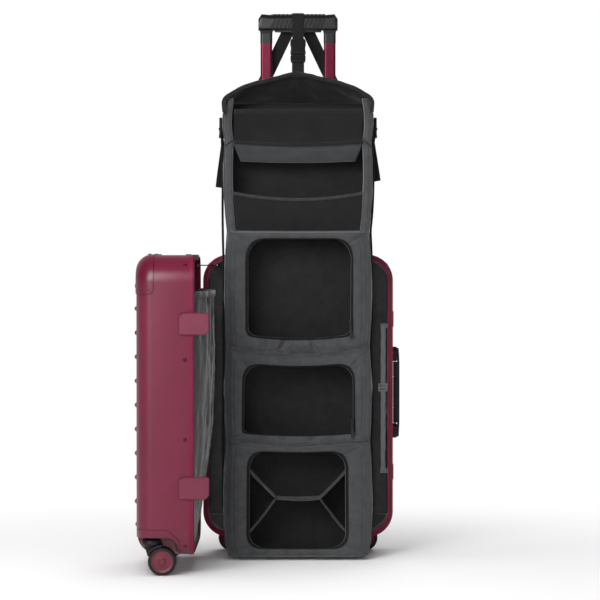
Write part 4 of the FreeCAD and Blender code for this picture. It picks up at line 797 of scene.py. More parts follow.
organiserPosts = clothPair("organiserPosts", posts["grid"], postSheet, posts["wall"], 1)
seamLines = []
for sign in (-1, 1):
    line = []
    for t in (k / 12 for k in range(13)):
        line.append(postSpot(sign, posts["seam"] - posts["seamDrop"] * (1 - t) ** 1.5, t)[0])
    seamLines.append(moved(line, 0, -0.4, 0))
postSeams = piping("postSeams", seamLines, organiser["piping"], bindingTape)

# Back of the organiser, slack between its side seams
backSheet = {"grid": (90, 40), "low": organiser["foot"] + 3, "top": 848.0, "slack": 0.9}


def backSpot(u, v):
    z = mix(backSheet["low"], backSheet["top"], v)
    x = u * (sideX(z) - 1)
    y = organiser["back"] + lean(z) + backSheet["slack"] * crease(x, 0, z, 55, 7) * (1 - u ** 4)
    return at(x, y, z), (x, z)


organiserBack = clothSheet("organiserBack", backSheet["grid"], backSpot, [greyCloth, blackLining],
                           organiser["wall"], back=1, turned=True)

# Shelves: they hang with the seams at the front and lie flatter at the back; the lowest lies on the floor
shelves = {"grid": (18, 40), "drop": 4.0, "wall": 1.6, "setBack": 12.0, "slack": 0.8}
shelfPieces = []
for level in organiser["seams"]:
    lowest = level == organiser["foot"]
    half = organiser["half"] - (organiser["footRound"] if lowest else 3)
    drop, lift = (0.0, 1.0) if lowest else (shelves["drop"], 0.0)

    def shelfSpot(u, v):
        x = u * half
        y = mix(organiser["front"] + shelves["setBack"], organiser["back"] - 1, v) + lean(level)
        loose = 1 - u ** 4
        z = mix(sag(x, level), level, v) - drop * arch(v) * loose
        return at(x, y, z + shelves["slack"] * crease(x, y, 0, 40, level) * loose + lift), (x, y)

    greyUnder = lowest or level == organiser["seams"][-1]
    shelfPieces.append(clothSheet("shelf", shelves["grid"], shelfSpot, [blackLining, greyCloth],
                                  shelves["wall"], back=1 if greyUnder else 0))
organiserShelves = mergeCloth("organiserShelves", shelfPieces)

# Slanted strip under the top compartment, running back into the shelf below
valance = {"top": 770.0, "bottom": 734.0, "set": 24.0, "half": 121.0, "taper": 14.0, "drop": 3.0,
           "setBack": 3.0, "crease": 0.8, "grid": (16, 50)}


def valanceSpot(u, v):
    x = u * (valance["half"] - valance["taper"] * v)
    z = mix(valance["top"], valance["bottom"], v) - valance["drop"] * (1 - u * u)
    y = organiser["front"] + lean(valance["top"]) + valance["setBack"] + valance["set"] * v ** 1.4
    return at(x, y + valance["crease"] * crease(x, 0, z, 30, 12), z), (x, z)


organiserValance = clothSheet("organiserValance", valance["grid"], valanceSpot, [greyCloth, blackLining],
                              organiser["wall"], back=1, turned=True)

# Hood: a gabled sheet from the bound front edge to the flat back edge, drawn up by the strap at its middle
hood = {"ridge": (904.0, 60.0), "bend": (100.0, 878.0, 130.0), "corner": (142.0, 851.0, 18.0), "tilt": 0.869,
        "eave": (139.0, 824.0), "backReach": 134.0, "backEave": 812.0, "backRound": 14.0, "backY": 77.0,
        "backRidge": 200.0, "sag": 3.5, "fan": 1.8, "crumple": 1.6, "grid": (26, 91)}
hoodColumns = hood["grid"][1]


# The half outline on the right, mirrored into a whole one
def gable(half):
    return roundedPath([(-x, z, r) for x, z, r in half[:0:-1]] + half, hoodColumns)


hoodFront = gable([(0, *hood["ridge"]), hood["bend"], hood["corner"], (*hood["eave"], 0)])
hoodRear = gable([(0, backSheet["top"] - 1, hood["backRidge"]),
                  (hood["backReach"], backSheet["top"] - 3, hood["backRound"]),
                  (hood["backReach"], hood["backEave"], 0)])
hoodEdge = []
for x, z in hoodFront:
    y = organiser["front"] + lean(organiser["shoulder"]) - 2 + hood["tilt"] * (z - organiser["shoulder"])
    hoodEdge.append(Vector((x, y, z + 0.7 * crease(x, 0, 0, 26, 33))))


def hoodSpot(u, v):
    c = round((u + 1) / 2 * (hoodColumns - 1))
    spot = hoodEdge[c].lerp(Vector((hoodRear[c].x, hood["backY"], hoodRear[c].y)), v)
    loose = arch(v) * smooth(820, 850, spot.z)
    fan = math.sin(9 * math.atan2(hoodEdge[c].x, 18 + v * 80)) * hood["fan"]
    spot.z += (fan - hood["sag"] + hood["crumple"] * crease(spot.x, spot.y, 0, 34, 15)) * loose
    return at(*spot), (spot.x, spot.y + spot.z)


organiserHood = clothSheet("organiserHood", hood["grid"], hoodSpot, [greyCloth, blackLining],
                           organiser["wall"], back=1)

# Tape bound over the hood's front edge, a flat oval in section
tape = {"high": 8.0, "thick": 3.2, "around": 12}
points, uvs = [], []
for c, edge in enumerate(hoodEdge):
    run = (hoodEdge[min(c + 1, hoodColumns - 1)] - hoodEdge[max(c - 1, 0)]).normalized()
    inward = Vector((run.z, 0, -run.x)).normalized()
    for k in range(tape["around"]):
        a = 2 * math.pi * k / tape["around"]
        spot = edge + inward * (tape["high"] * 0.5 * (1 - math.cos(a)) - 1)
        spot.y += tape["thick"] / 2 * math.sin(a) - hood["tilt"] * 0.5 * (edge.z - spot.z)
        points.append(at(*spot))
        uvs.append((k * 2.0, c * 3.0))
hoodTape = newPiece("hoodTape", points, gridFaces(hoodColumns, tape["around"], True), [bindingTape], uvs)
print("organiser shell done")

# Net pocket: a knitted lattice under a taped hem
net = {"low": 768.0, "high": 822.0, "half": 119.0, "cell": 2.6, "thread": 0.32, "sag": 5.0, "belly": 5.0,
       "setBack": 3.5, "hem": (10.0, 2.2), "foot": (7.0, 2.0)}
tapeFace = (0, 0.28, 0.96)  # across the tapes of the leaning upper half


def netPoint(u, v):
    bow = 1 - u * u
    z = mix(net["low"], net["high"], v) - net["sag"] * bow * (1 - v) + 2 * bow * v * (1 - v)
    y = organiser["front"] + lean(z) + net["setBack"] - net["belly"] * arch(v) * (1 - u ** 4)
    return at(net["half"] * u, y, z)


across = int(2 * net["half"] / net["cell"])
upward = int((net["high"] - net["low"]) / net["cell"])
lines = []
for shift in range(-upward, across + 1):
    for slope in (1, -1):
        line = []
        for k in range(upward + 1):
            c = shift + k if slope > 0 else shift + upward - k
            if 0 <= c <= across:
                line.append(netPoint(2 * c / across - 1, k / upward))
        if len(line) > 1:
            lines.append(line)
organiserNet = piping("organiserNet", lines, net["thread"], netNylon, sides=4)
hemLine = moved([netPoint(k / 20 - 1, 1.0) for k in range(41)], 0, -0.5, 4)
netHem = tapeAlong("netHem", hemLine, *net["hem"], bindingTape, tapeFace)
footLine = moved([netPoint(k / 20 - 1, 0.0) for k in range(41)], 0, -1, 1)
netFoot = tapeAlong("netFoot", footLine, *net["foot"], bindingTape, tapeFace)

# Stretch panel across the open shelf, with a bound edge that hangs
stretch = {"low": 602.0, "high": 674.0, "drop": 12.0, "half": 119.0, "taper": 0.055, "belly": 3.5,
           "wall": 1.2, "setBack": 5.0, "edge": (5.5, 2.4), "grid": (22, 60)}


def stretchSpot(u, v):
    x = stretch["half"] * u * (1 - stretch["taper"] * (1 - v))
    z = mix(stretch["low"], stretch["high"] - stretch["drop"] * (1 - u * u), v)
    y = organiser["front"] + lean(z) + stretch["setBack"] - stretch["belly"] * arch(v) * (1 - u * u)
    return at(x, y, z), (x, z)


organiserStretch = clothSheet("organiserStretch", stretch["grid"], stretchSpot, [stretchKnit],
                              stretch["wall"], 1.0, turned=True)
edgeLine = moved([stretchSpot(k / 20 - 1, 1.0)[0] for k in range(41)], 0, -0.5, 0)
stretchEdge = tapeAlong("stretchEdge", edgeLine, *stretch["edge"], darkCloth, tapeFace)

# Dividers of the bottom compartment: a level web between two spread pairs, bowed by their own weight
webs = {"inner": 40.0, "outer": 128.0, "low": 9.0, "high": 214.0, "front": -84.0, "rear": -8.0, "wall": 1.4,
        "bows": (3.0, 7.0), "slack": 5.0, "crease": 1.3, "grid": (14, 24)}
level = (webs["low"] + webs["high"]) / 2
runs = [(-webs["inner"], level, webs["inner"], level)]
runs += [(sign * webs["inner"], level, sign * webs["outer"], end)
         for sign in (-1, 1) for end in (webs["low"], webs["high"])]
webPieces = []
for n, (fromX, fromZ, toX, toZ) in enumerate(runs):
    bow = webs["bows"][n > 0]

    def webSpot(u, v):
        t = (u + 1) / 2
        x, z = mix(fromX, toX, t), mix(fromZ, toZ, t) - arch(t) * bow
        y = mix(webs["front"], webs["rear"], v) + webs["slack"] * arch(t) * (1 - v)
        return at(x, y, z + webs["crease"] * crease(x, y, z, 30, 30 + n) * arch(t)), (t * 90, y)

    webPieces.append(clothSheet("web", webs["grid"], webSpot, [blackLining, greyCloth], webs["wall"], 0.0,
                                rim=1))
organiserDividers = mergeCloth("organiserDividers", webPieces)

# Zip coil and tape round the openings, and their seams: step, length and thickness of teeth and stitches
zips = {"tape": 1.7, "teeth": (2.6, 1.6, 2.2), "darts": (3.4, 2.4, 0.8), "gussets": (4.0, 2.8, 0.9)}
for front in zippedFronts:
    darts = [moved(line, 0, -0.4, 0) for line in front["darts"]]
    front["trim"] = merge("frontTrim" + front["name"], [
        piping("zipTape", [front["zip"]], zips["tape"], coilNylon, True),
        stitches("zipTeeth", [moved(front["zip"], 0, -1.2, 0)], coilNylon, *zips["teeth"], True),
        stitches("dartSeams", darts, threadBlack, *zips["darts"]),
        stitches("gussetSeams", front["gussets"], threadBlack, *zips["gussets"])])

seamLines = []
for level in organiser["seams"][1:4]:
    seamLines.append([at(x, organiser["front"] + 11, sag(x, level)) for x in range(-128, 129, 4)])
for out, edgeY, heights in ((0.4, organiser["front"] + 12, range(30, 842, 6)),
                            (-0.5, organiser["back"], range(20, 836, 6))):
    for sign in (-1, 1):
        seamLines.append([at(sign * (sideX(z) + out), edgeY + lean(z), z) for z in heights])
seamPiping = piping("seamPiping", seamLines, organiser["piping"], greyCloth)
organiserPieces = [postSeams, organiserSides, organiserPosts, organiserBack, organiserShelves,
                   organiserValance, organiserHood, hoodTape, organiserNet, netHem, netFoot, organiserStretch,
                   stretchEdge, organiserDividers, seamPiping]
print("organiser pieces:", len(organiserPieces))

# Zip pulls: slider, loop and tab at the lower right of the two upper zipped fronts
pull = {"slider": (7.0, 4.5), "loop": 0.7, "tab": (5.0, 2.4), "tabLength": 24.0}
zipPulls = []
for front in zippedFronts[1:]:
    x, z = front["pull"]
    y = organiser["front"] - 4
    slider = [at(x, y - 1.5, z + 5 - k) for k in range(0, 11, 2)]
    turns = [a / 8 * math.pi for a in range(16)]
    ring = [at(x + 2.2 * math.sin(a), y - 4.2, z - 2 - 4.5 * math.cos(a)) for a in turns]
    tab = curveThrough([at(x, y - 4.4, z - 5), at(x + 0.5, y - 4.8, z - 14),
                        at(x + 1.0, y - 4.2, z - 5 - pull["tabLength"])], 8)
    zipPulls.append(merge("zipPull" + front["name"], [
        tapeAlong("zipSlider", slider, *pull["slider"], blackZinc),
        piping("pullLoop", [ring], pull["loop"], blackZinc, True),
        tapeAlong("pullTab", tab, *pull["tab"], blackZinc)]))
    tuckIn(zipPulls[-1], *front["tuck"])
    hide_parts("zip_pulls")

# Compression straps down the sides, each with a ladder lock and a loose tail that twists to the front
compression = {"width": 12.0, "thick": 1.8, "top": 814.0, "foot": 95.0, "out": 4.4, "turn": 14.0}
# The left strap is taut and bridges the seams, the right one goes in with them
tautLine = [(sum(bay) / 2, sideX(sum(bay) / 2)) for bay in bays]
ladder = {"low": 778.0, "high": 816.0, "half": 9.0, "turn": 24.0, "out": 5.0, "thick": 4.4}
# Height above the lock's foot, width and stand-off of its bars
lockBars = ((3, 6.0, 0.6), (17, 4.0, 1.4), (ladder["high"] - ladder["low"] - 4, 7.0, 0.0))
looseTail = {"top": 800.0, "ends": {-1: 686.0, 1: 698.0}, "drift": 7.0, "turn": (20.0, 60.0), "hem": 2.6}


# Direction across a strap that is turned by some degrees from the side towards the front
def strapFace(sign, degrees):
    return Vector((sign * math.sin(math.radians(degrees)), -math.cos(math.radians(degrees)), 0))


strapPieces, lockPieces = [], []
strapSize = compression["width"], compression["thick"]
midY = (organiser["front"] + organiser["back"]) / 2
for sign in (-1, 1):
    line = []
    for k in range(71):
        z = mix(compression["foot"], compression["top"], k / 70)
        reach = between(tautLine, z) if sign < 0 else sideX(z)
        line.append(at(sign * (reach + compression["out"] + 0.4 * math.sin(z / 31)), midY + lean(z), z))
    strapPieces.append(tapeAlong("sideStrap", line, *strapSize, blackWebbing,
                                 strapFace(sign, compression["turn"])))
    lockX = sideX(ladder["high"]) + ladder["out"] - 2
    face = strapFace(sign, ladder["turn"])
    away = strapFace(sign, ladder["turn"] + 90)

    def onLock(across, out, z):
        return at(*(Vector((sign * lockX, midY + lean(z), z)) + face * across + away * out))

    for height, wide, out in lockBars:
        bar = [onLock(s, out, ladder["low"] + height) for s in (-ladder["half"], -4, 0, 4, ladder["half"])]
        lockPieces.append(tapeAlong("lockBar", bar, wide, ladder["thick"], buckleAcetal, (0, 0, 1)))
    for s in (1.5 - ladder["half"], ladder["half"] - 1.5):
        rail = [onLock(s, 0, mix(ladder["low"], ladder["high"], k / 7)) for k in range(8)]
        lockPieces.append(tapeAlong("lockRail", rail, 3.2, ladder["thick"] + 0.6, buckleAcetal, face))
    spots, facing = [], []
    for t in (k / 40 for k in range(41)):
        z = mix(looseTail["top"], looseTail["ends"][sign], t)
        drifted = ladder["out"] + 1.0 + looseTail["drift"] * t ** 1.6 - 1.5 * arch(t)
        spots.append(at(sign * (sideX(z) + drifted), midY + lean(looseTail["top"]) - 8 * t, z))
        facing.append(strapFace(sign, mix(*looseTail["turn"], smooth(0.1, 0.9, t))))
    strapPieces.append(tapeAlong("strapTail", spots, *strapSize, blackWebbing, facing))
    folded = [p - strapFace(sign, looseTail["turn"][1] + 90) * 0.0012 for p in spots[-6:]]
    strapPieces.append(tapeAlong("tailHem", folded, compression["width"] + 0.4, looseTail["hem"],
                                 blackWebbing, facing[-1]))
sideStraps = merge("sideStraps", strapPieces)
ladderLocks = merge("ladderLocks", lockPieces)
organiserPieces += [sideStraps, ladderLocks]
print("straps and pulls done")

# Hanging strap over the grip with its side-release buckle, and the two tails behind the tubes
harness = {"width": 22.0, "thick": 1.8, "grip": (98.0, 14.0, 985.0, 1016.0), "peak": (34.0, 901.0),
           "buckle": (0.22, 0.70), "tab": (23.0, 2.4), "tailWidth": 23.0}
gripY, gripHalf, gripLow, gripTop = harness["grip"]
foreY, backY, topZ = gripY - gripHalf - 1.6, gripY + gripHalf + 1.6, gripTop + 1.0
peakY, peakZ = harness["peak"]
headY, headZ = foreY, gripLow + 8
buckleFoot, buckleTop = harness["buckle"]


# A place on the straight run from the hood's peak to the grip
def strapAt(share):
    return at(0, mix(peakY, headY, share), mix(peakZ, headZ, share))


over = ((headY, headZ), (foreY + 0.4, topZ - 8), (foreY + 4, topZ - 1.4), (foreY + 11, topZ), (gripY, topZ),
        (backY - 11, topZ), (backY - 4, topZ - 1.4), (backY - 0.4, topZ - 8), (backY, gripLow + 6))
loopLine = curveThrough([strapAt(buckleTop - 0.06), strapAt(0.85), *(at(0, y, z) for y, z in over)], 6)
hangParts = [tapeAlong("hangLoop", loopLine, harness["width"], harness["thick"], blackWebbing)]
tabLine = curveThrough([at(0, peakY - 4, peakZ - 9), at(0, peakY - 1, peakZ), strapAt(0.1),
                        strapAt(buckleFoot + 0.05)], 6)
hangTab = tapeAlong("hangTab", tabLine, *harness["tab"], blackWebbing)
tailRoute = ((6, backY + 1.6, gripLow + 22), (14, backY + 1.8, gripLow + 10), (50, backY + 1.4, 920),
             (82, backY - 6, 852), (90, 88, 838), (91, organiser["back"] + lean(834) + 2, 833))
for sign in (-1, 1):
    route = curveThrough([at(sign * x, y, z) for x, y, z in tailRoute], 7)
    hangParts.append(tapeAlong("hangTail", route, harness["tailWidth"], harness["thick"], blackWebbing,
                               (0.91, 0, sign * 0.41)))
hangStraps = merge("hangStraps", hangParts)

# The buckle, drawn along the strap: half outlines as (x in mm, share of its length), thickness and edge
buckle = {
    "Socket": (((12.4, 0.36), (14.4, 0.40), (14.4, 0.47), (12.0, 0.52), (12.0, 0.70), (14.6, 0.76),
                (14.6, 0.90), (12.5, 1.0)), 9.4, 1.6),
    "Plug": (((11.5, 0.0), (14.0, 0.08), (14.2, 0.24), (12.6, 0.33)), 8.4, 1.4),
    "Prongs": (((12.0, 0.50), (13.6, 0.55), (13.6, 0.67), (12.0, 0.73)), 4.0, 0.8),
    "Bar": (((12.2, 0.93), (12.2, 1.02)), 6.0, 1.4),
    "Neck": (((9.5, 0.25), (9.5, 0.45)), 4.0, 0.8),
}
buckleBase = strapAt(buckleFoot)
buckleLength = (strapAt(buckleTop) - buckleBase).length * 1000
tilt = math.atan2(headY - peakY, headZ - peakZ)
buckleParts = []
for name, (half, thick, edge) in buckle.items():
    outline = [(x, share * buckleLength) for x, share in half]
    outline += [(-x, z) for x, z in reversed(outline)]
    points = []
    for y in (-thick / 2, thick / 2):
        for x, z in outline:
            turnedSpot = (x, y * math.cos(tilt) + z * math.sin(tilt), z * math.cos(tilt) - y * math.sin(tilt))
            points.append(buckleBase + Vector(turnedSpot) / 1000)
    count = len(outline)
    faces = gridFaces(2, count, True) + [tuple(range(count)), tuple(range(count, 2 * count))]
    block = rework(newPiece("buckle" + name, points, faces, [buckleAcetal], soft=False), outward)
    mod = block.modifiers.new("edge", "BEVEL")
    mod.width = edge / 1000
    mod.segments = 3
    buckleParts.append(toMesh(block))
hangBuckle = merge("hangBuckle", buckleParts)
print("harness done")

lining = {"inset": 5.2, "corner": 47.0, "perSide": 90, "wall": 0.8, "middle": 297.5, "away": (2.2, 3.4, 1.2)}
# Depth of each half, from the guards that stand proud of its face
guardProud = 1.5
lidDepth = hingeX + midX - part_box("lid_corner_guards")[0][0] * 1000 - guardProud
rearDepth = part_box("rear_corner_guards")[1][1] * 1000 - rimY - guardProud
# Wheel wells that the linings go over: from the side wall and the face, and their own size
wells = {"side": 31.0, "face": 26.0, "radius": 51.5, "top": 71.5, "round": 22.0}


def wallLoop(inset):
    half, corner = caseHalf - inset, max(2, lining["corner"] - inset)
    low, top = caseLow + inset, caseTop - inset
    return roundedLoop([(-half, low, corner), (half, low, corner), (half, top, corner), (-half, top, corner)],
                       lining["perSide"])


# Height of a wheel well at a place in a half, nothing outside it
def wellTop(x, depth, caseDepth):
    across = max(0, caseHalf - wells["side"] - abs(x))
    inward = max(0, caseDepth - wells["face"] - depth)
    gap = wells["radius"] - math.hypot(across, inward)
    if gap <= 0:
        return 0
    short = max(0, wells["round"] - gap)
    return wells["top"] - wells["round"] + math.sqrt(wells["round"] ** 2 - short ** 2)


# Lining of a half: rings from the rim down the wall, with folds that stand away from the shell
def tub(name, place, rows, caseDepth, seed, turned):
    points, uvs = [], []
    stand, broad, fine = lining["away"]
    for n, (inset, depth) in enumerate(rows):
        loose = smooth(0, 3, n) * (0.5 + 0.5 * smooth(len(rows), len(rows) - 3, n))
        for i, spot in enumerate(wallLoop(inset)):
            inward = (Vector((0, lining["middle"])) - Vector((spot.x * 0.35, spot.y))).normalized()
            away = stand + broad * crease(spot.x, depth * 0.6, spot.y * 0.5, 40, seed)
            away = max(0, (away + fine * crease(spot.x, depth, spot.y, 18, seed + 5)) * loose)
            x = spot.x + inward.x * away
            points.append(place(x, depth, max(spot.y + inward.y * away, wellTop(x, abs(depth), caseDepth))))
            uvs.append((i * 4.2, depth + inset))
    faces = gridFaces(len(rows), lining["perSide"] * 4, True, turned)
    return newPiece(name, points, faces, [greyLining], uvs)


# Closes the inner end of the lid's lining and joins the points that fall together
def closeFloor(made):
    made.verts.ensure_lookup_table()
    made.faces.new(made.verts[-lining["perSide"] * 4:])
    bmesh.ops.remove_doubles(made, verts=made.verts, dist=0.0003)


inset = lining["inset"]
rearRows = [(inset - 0.6, 7.0)] + [(inset, mix(8, 76, k / 17)) for k in range(18)]
rearLining = thicken(tub("rearLining", at, rearRows, rearDepth, 41, True), lining["wall"], 1.0)
lidRows = [(inset - 0.6, -7.0)] + [(inset, -mix(8, 74, k / 12)) for k in range(13)]
lidRows += [(inset + d, -y) for d, y in ((1.5, 82), (5, 88), (11, 92), (22, 94), (60, 94), (110, 94),
                                         (165, 94))]
lidTub = rework(tub("lidLining", onLid, lidRows, lidDepth, 52, False), closeFloor)
lidLining = thicken(lidTub, lining["wall"], 0.0)

# Panel in front of the handle tubes
panelForm = {"half": caseHalf - 6, "low": caseLow + 6, "top": caseTop - 6, "corner": 42.0, "y": 75.4,
             "folds": (2.8, 5.0, 2.0), "grid": (80, 56)}


def panelSpot(u, v):
    gap = (panelForm["top"] - panelForm["low"]) * (1 - v)
    short = max(0, panelForm["corner"] - gap)
    x = u * (panelForm["half"] - panelForm["corner"] + math.sqrt(panelForm["corner"] ** 2 - short ** 2))
    z = mix(max(panelForm["low"], wellTop(x, panelForm["y"], rearDepth)), panelForm["top"], v)
    # no folds down the middle, where the strap's buckle goes past when the handle is pushed in
    slack = (1 - abs(u) ** 14) * smooth(20, 60, abs(x))
    stand, broad, fine = panelForm["folds"]
    away = stand + broad * crease(x, 0, z * 0.4, 46, 61) + fine * crease(x, 0, z, 24, 63)
    return at(x, min(panelForm["y"] - away * slack, panelForm["y"] + 0.2), z), (x, z)


backPanel = clothSheet("backPanel", panelForm["grid"], panelSpot, [greyLining], lining["wall"], 1.0,
                       turned=True)

# Divider over the lid's contents: a padded panel, full in the middle, its top edge free and hemmed
divider = {"side": caseHalf - 9.4, "low": caseLow + 9.5, "top": 495.0, "corner": 84.0, "depth": -1.5,
           "wall": 2.2, "folds": (3.4, 1.4, 0.6), "inset": 2.5, "hem": (12.0, 3.4), "piping": 1.8,
           "grid": (120, 100)}
# How far the panel stands out at mid width, by height
bulgeTable = ((44, 0), (87, 8), (124, 12), (160, 15.5), (200, 22), (258, 29), (350, 32), (496, 31))


def dividerSpot(u, v):
    z = mix(divider["low"], divider["top"], v)
    short = max(0, divider["corner"] - (z - divider["low"]))
    x = u * (divider["side"] - divider["corner"] + math.sqrt(divider["corner"] ** 2 - short ** 2))
    full = 1 - abs(u) ** 3.2
    broad, middling, fine = divider["folds"]
    folds = broad * crease(x * 1.5, 0, z * 0.26, 46, 83) + middling * crease(x, 0, z * 0.5, 22, 87)
    folds += fine * crease(x, 0, z, 11, 89)
    out = (between(bulgeTable, z) - divider["inset"]) * full + folds * full * smooth(0, 0.2, v)
    return onLid(x, divider["depth"] + max(out, 0), z), (x, z)


lidDivider = clothSheet("lidDivider", divider["grid"], dividerSpot, [darkCloth, blackLining], divider["wall"],
                        back=1, turned=True)
acrossShares = [k / 30 - 1 for k in range(61)]
topLine = [dividerSpot(u, 1.0)[0] for u in acrossShares]
edgeLine = [dividerSpot(-1, 1 - k / 40)[0] for k in range(40)]
edgeLine += [dividerSpot(u, 0)[0] for u in acrossShares]
edgeLine += [dividerSpot(1, k / 40)[0] for k in range(1, 41)]
dividerTrim = merge("dividerTrim", [
    tapeAlong("dividerHem", moved(topLine, 0.6, 0, -4), *divider["hem"], darkCloth, (0, 0, 1)),
    stitches("hemStitch", [moved(topLine[2:59], 2.6, 0, -8.5)], threadGrey),
    piping("dividerPiping", [moved(edgeLine, 1, 0, 0)], divider["piping"], bindingTape)])
print("linings done")

# Packing strap down the right of the rear half, grey webbing in overlapping runs with sewn ends
packing = {"x": caseHalf - 17.2, "y": 7.4, "low": 155.0, "high": 430.0, "slider": 313.0, "tail": 196.0,
           "thick": 1.5, "end": (9.0, 1.6)}
# Foot, top, width and set-back of each run
packRuns = ((packing["slider"] - 6, packing["high"], 9.6, 0.0),
            (packing["low"], packing["slider"] + 8, 8.6, 1.2),
            (packing["tail"], packing["slider"] - 4, 9.6, -0.6))
packPieces = []
for low, high, wide, back in packRuns:
    line = [at(packing["x"] + 0.4 * math.sin(k), packing["y"] + back + 0.5 * math.sin(k * 0.7),
               mix(low, high, k / 24)) for k in range(25)]
    packPieces.append(tapeAlong("packRun", line, wide, packing["thick"], greyWebbing))
for z in (packing["low"] + 2, packing["high"] - 2):
    line = [at(packing["x"] - 5.5 + k, packing["y"] + 1.6, z) for k in range(0, 18, 2)]
    packPieces.append(tapeAlong("packEnd", line, *packing["end"], greyWebbing, (0, 0, 1)))
for z in (packing["high"] - 1, packing["tail"] + 1):
    line = [at(packing["x"] - 5 + k, packing["y"] - 1.3, z) for k in range(11)]
    packPieces.append(stitches("packStitch", [line], threadGrey))
packingStrap = merge("packingStrap", packPieces)

# Grip: slanted ribs across its front, back and crown, in the middle section
ribs = {"half": 50.0, "step": 7.2, "slant": -8.0, "radius": 2.2, "taper": 2.0}
ribCount = int(2 * ribs["half"] / ribs["step"])
ribPlaces = [mix(-ribs["half"], ribs["half"], (k + 0.5) / ribCount) for k in range(ribCount)]
lines = []
for sign in (-1, 1):
    for x in ribPlaces:
        line = []
        for t in range(9):
            z = gripLow + 4 + t * 2.1
            y = gripY + sign * (gripHalf - 0.25 - ribs["taper"] * (z - gripLow) / (gripTop - gripLow))
            line.append(at(x + ribs["slant"] * (t / 8 - 0.5) * sign, y, z))
        lines.append(line)
for x in ribPlaces:
    lines.append([at(x + ribs["slant"] * (t / 6 - 0.5), gripY - 5 + t * 10 / 6, gripTop - 1.9)
                  for t in range(7)])
gripRibs = piping("gripRibs", lines, ribs["radius"], gripNylon)

# Lock holes down the outer face of the right tube, drawn as small dull dark beads: painted shade of the holes
locks = {"x": 70.2, "low": 905.0, "high": 948.0, "step": 4.6, "size": 2.0}
lockLine = [at(locks["x"], gripY - 2.6, z) for z in (locks["high"], locks["low"])]
lockHoleShadeDots = stitches("lockHoleShadeDots", [lockLine], rimRubber, locks["step"], locks["size"], locks["size"])

# Rubber pads under the two carry handles, in three lengths with a groove between them, on a core
pads = {"grip": 7.4, "thick": 4.8, "width": 20.0, "core": 3.6, "reach": 57.3, "belly": 50.0, "rise": 3.4,
        "groove": 29.0, "slit": 0.9}


# Place turns a distance along the handle and one out from the wall into a point
def palmPad(name, place):
    middle = -pads["grip"] - pads["thick"] / 2 + 0.4
    reach, belly, rise = pads["reach"], pads["belly"], pads["rise"]
    outer, inner = pads["groove"] + pads["slit"], pads["groove"] - pads["slit"]
    runs = ((-reach, -outer, 0, 0), (-inner, inner, 0, 0), (outer, reach, 0, 0), (-reach, reach, 1, 0),
            (-belly, -reach, 0, rise), (belly, reach, 0, rise))
    bars = []
    for a, b, slim, lift in runs:
        line = [place(mix(a, b, k / 8), middle + lift * k / 8) for k in range(9)]
        thick = pads["core"] if slim else pads["thick"]
        bars.append(tapeAlong("palmBar", line, pads["width"] - 2 * slim, thick, sealRubber, (0, 1, 0)))
    return merge(name, bars)


sideLow, sideHigh = (Vector(p) * 1000 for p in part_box("side_handle"))
topLow, topHigh = (Vector(p) * 1000 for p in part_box("top_handle"))
sideMid, topMid = (sideLow + sideHigh) / 2, (topLow + topHigh) / 2
sidePad = palmPad("sidePad", lambda t, out: Vector((sideHigh.x + out, sideMid.y, sideMid.z + t)) / 1000)
topPad = palmPad("topPad", lambda t, out: Vector((topMid.x + t, topMid.y, topHigh.z + out)) / 1000)

# Screws of the corner guards, three to each: on the side, the face and the top
screws = {"radius": 3.1, "rimGap": 22.0, "sideDrop": 60.0, "face": (30.0, 54.0), "topIn": 60.0}


# Each line runs from a screw's seat straight outwards
def guardScrews(name, depth, place, finish):
    inward, drop = screws["face"]
    seats = ((caseHalf + guardProud, screws["rimGap"] - depth, caseTop - screws["sideDrop"], (1, 0, 0)),
             (caseHalf - inward, -depth - guardProud, caseTop - drop, (0, -1, 0)),
             (caseHalf - screws["topIn"], screws["rimGap"] - depth, caseTop + guardProud, (0, 0, 1)))
    lines = [[place(sign * x, y, z), place(sign * (x + out[0]), y + out[1], z + out[2])]
             for sign in (-1, 1) for x, y, z, out in seats]
    return grow(name, lines, headOnSeat, {"Radius": screws["radius"] / 1000, "Finish": finish})


lidScrews = guardScrews("lidScrews", lidDepth, onLid, lidMoulded)
rearScrews = guardScrews("rearScrews", rearDepth, lambda x, y, z: at(x, -y, z), rearMoulded)

# Lid stay: a thin rod between two eyes, one on each half
stay = {"eye": 7.0, "eyeIn": 3.6, "radius": 1.1}
stayLow, stayHigh = (Vector(p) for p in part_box("lid_stay"))
eyeRoom = Vector((1, 1, 1)) * stay["eyeIn"] / 1000
near, far = stayLow + eyeRoom, stayHigh - eyeRoom
rod = piping("stayRod", [[near.lerp(far, k / 40) for k in range(41)]], stay["radius"], stayWire)
eyes = stitches("stayEyes", [[near, near.lerp(far, 0.03)], [far, far.lerp(near, 0.03)]], platedSteel, 200.0,
                stay["eye"], stay["eye"])
lidStay = merge("lidStay", [rod, eyes])
print("hardware done")

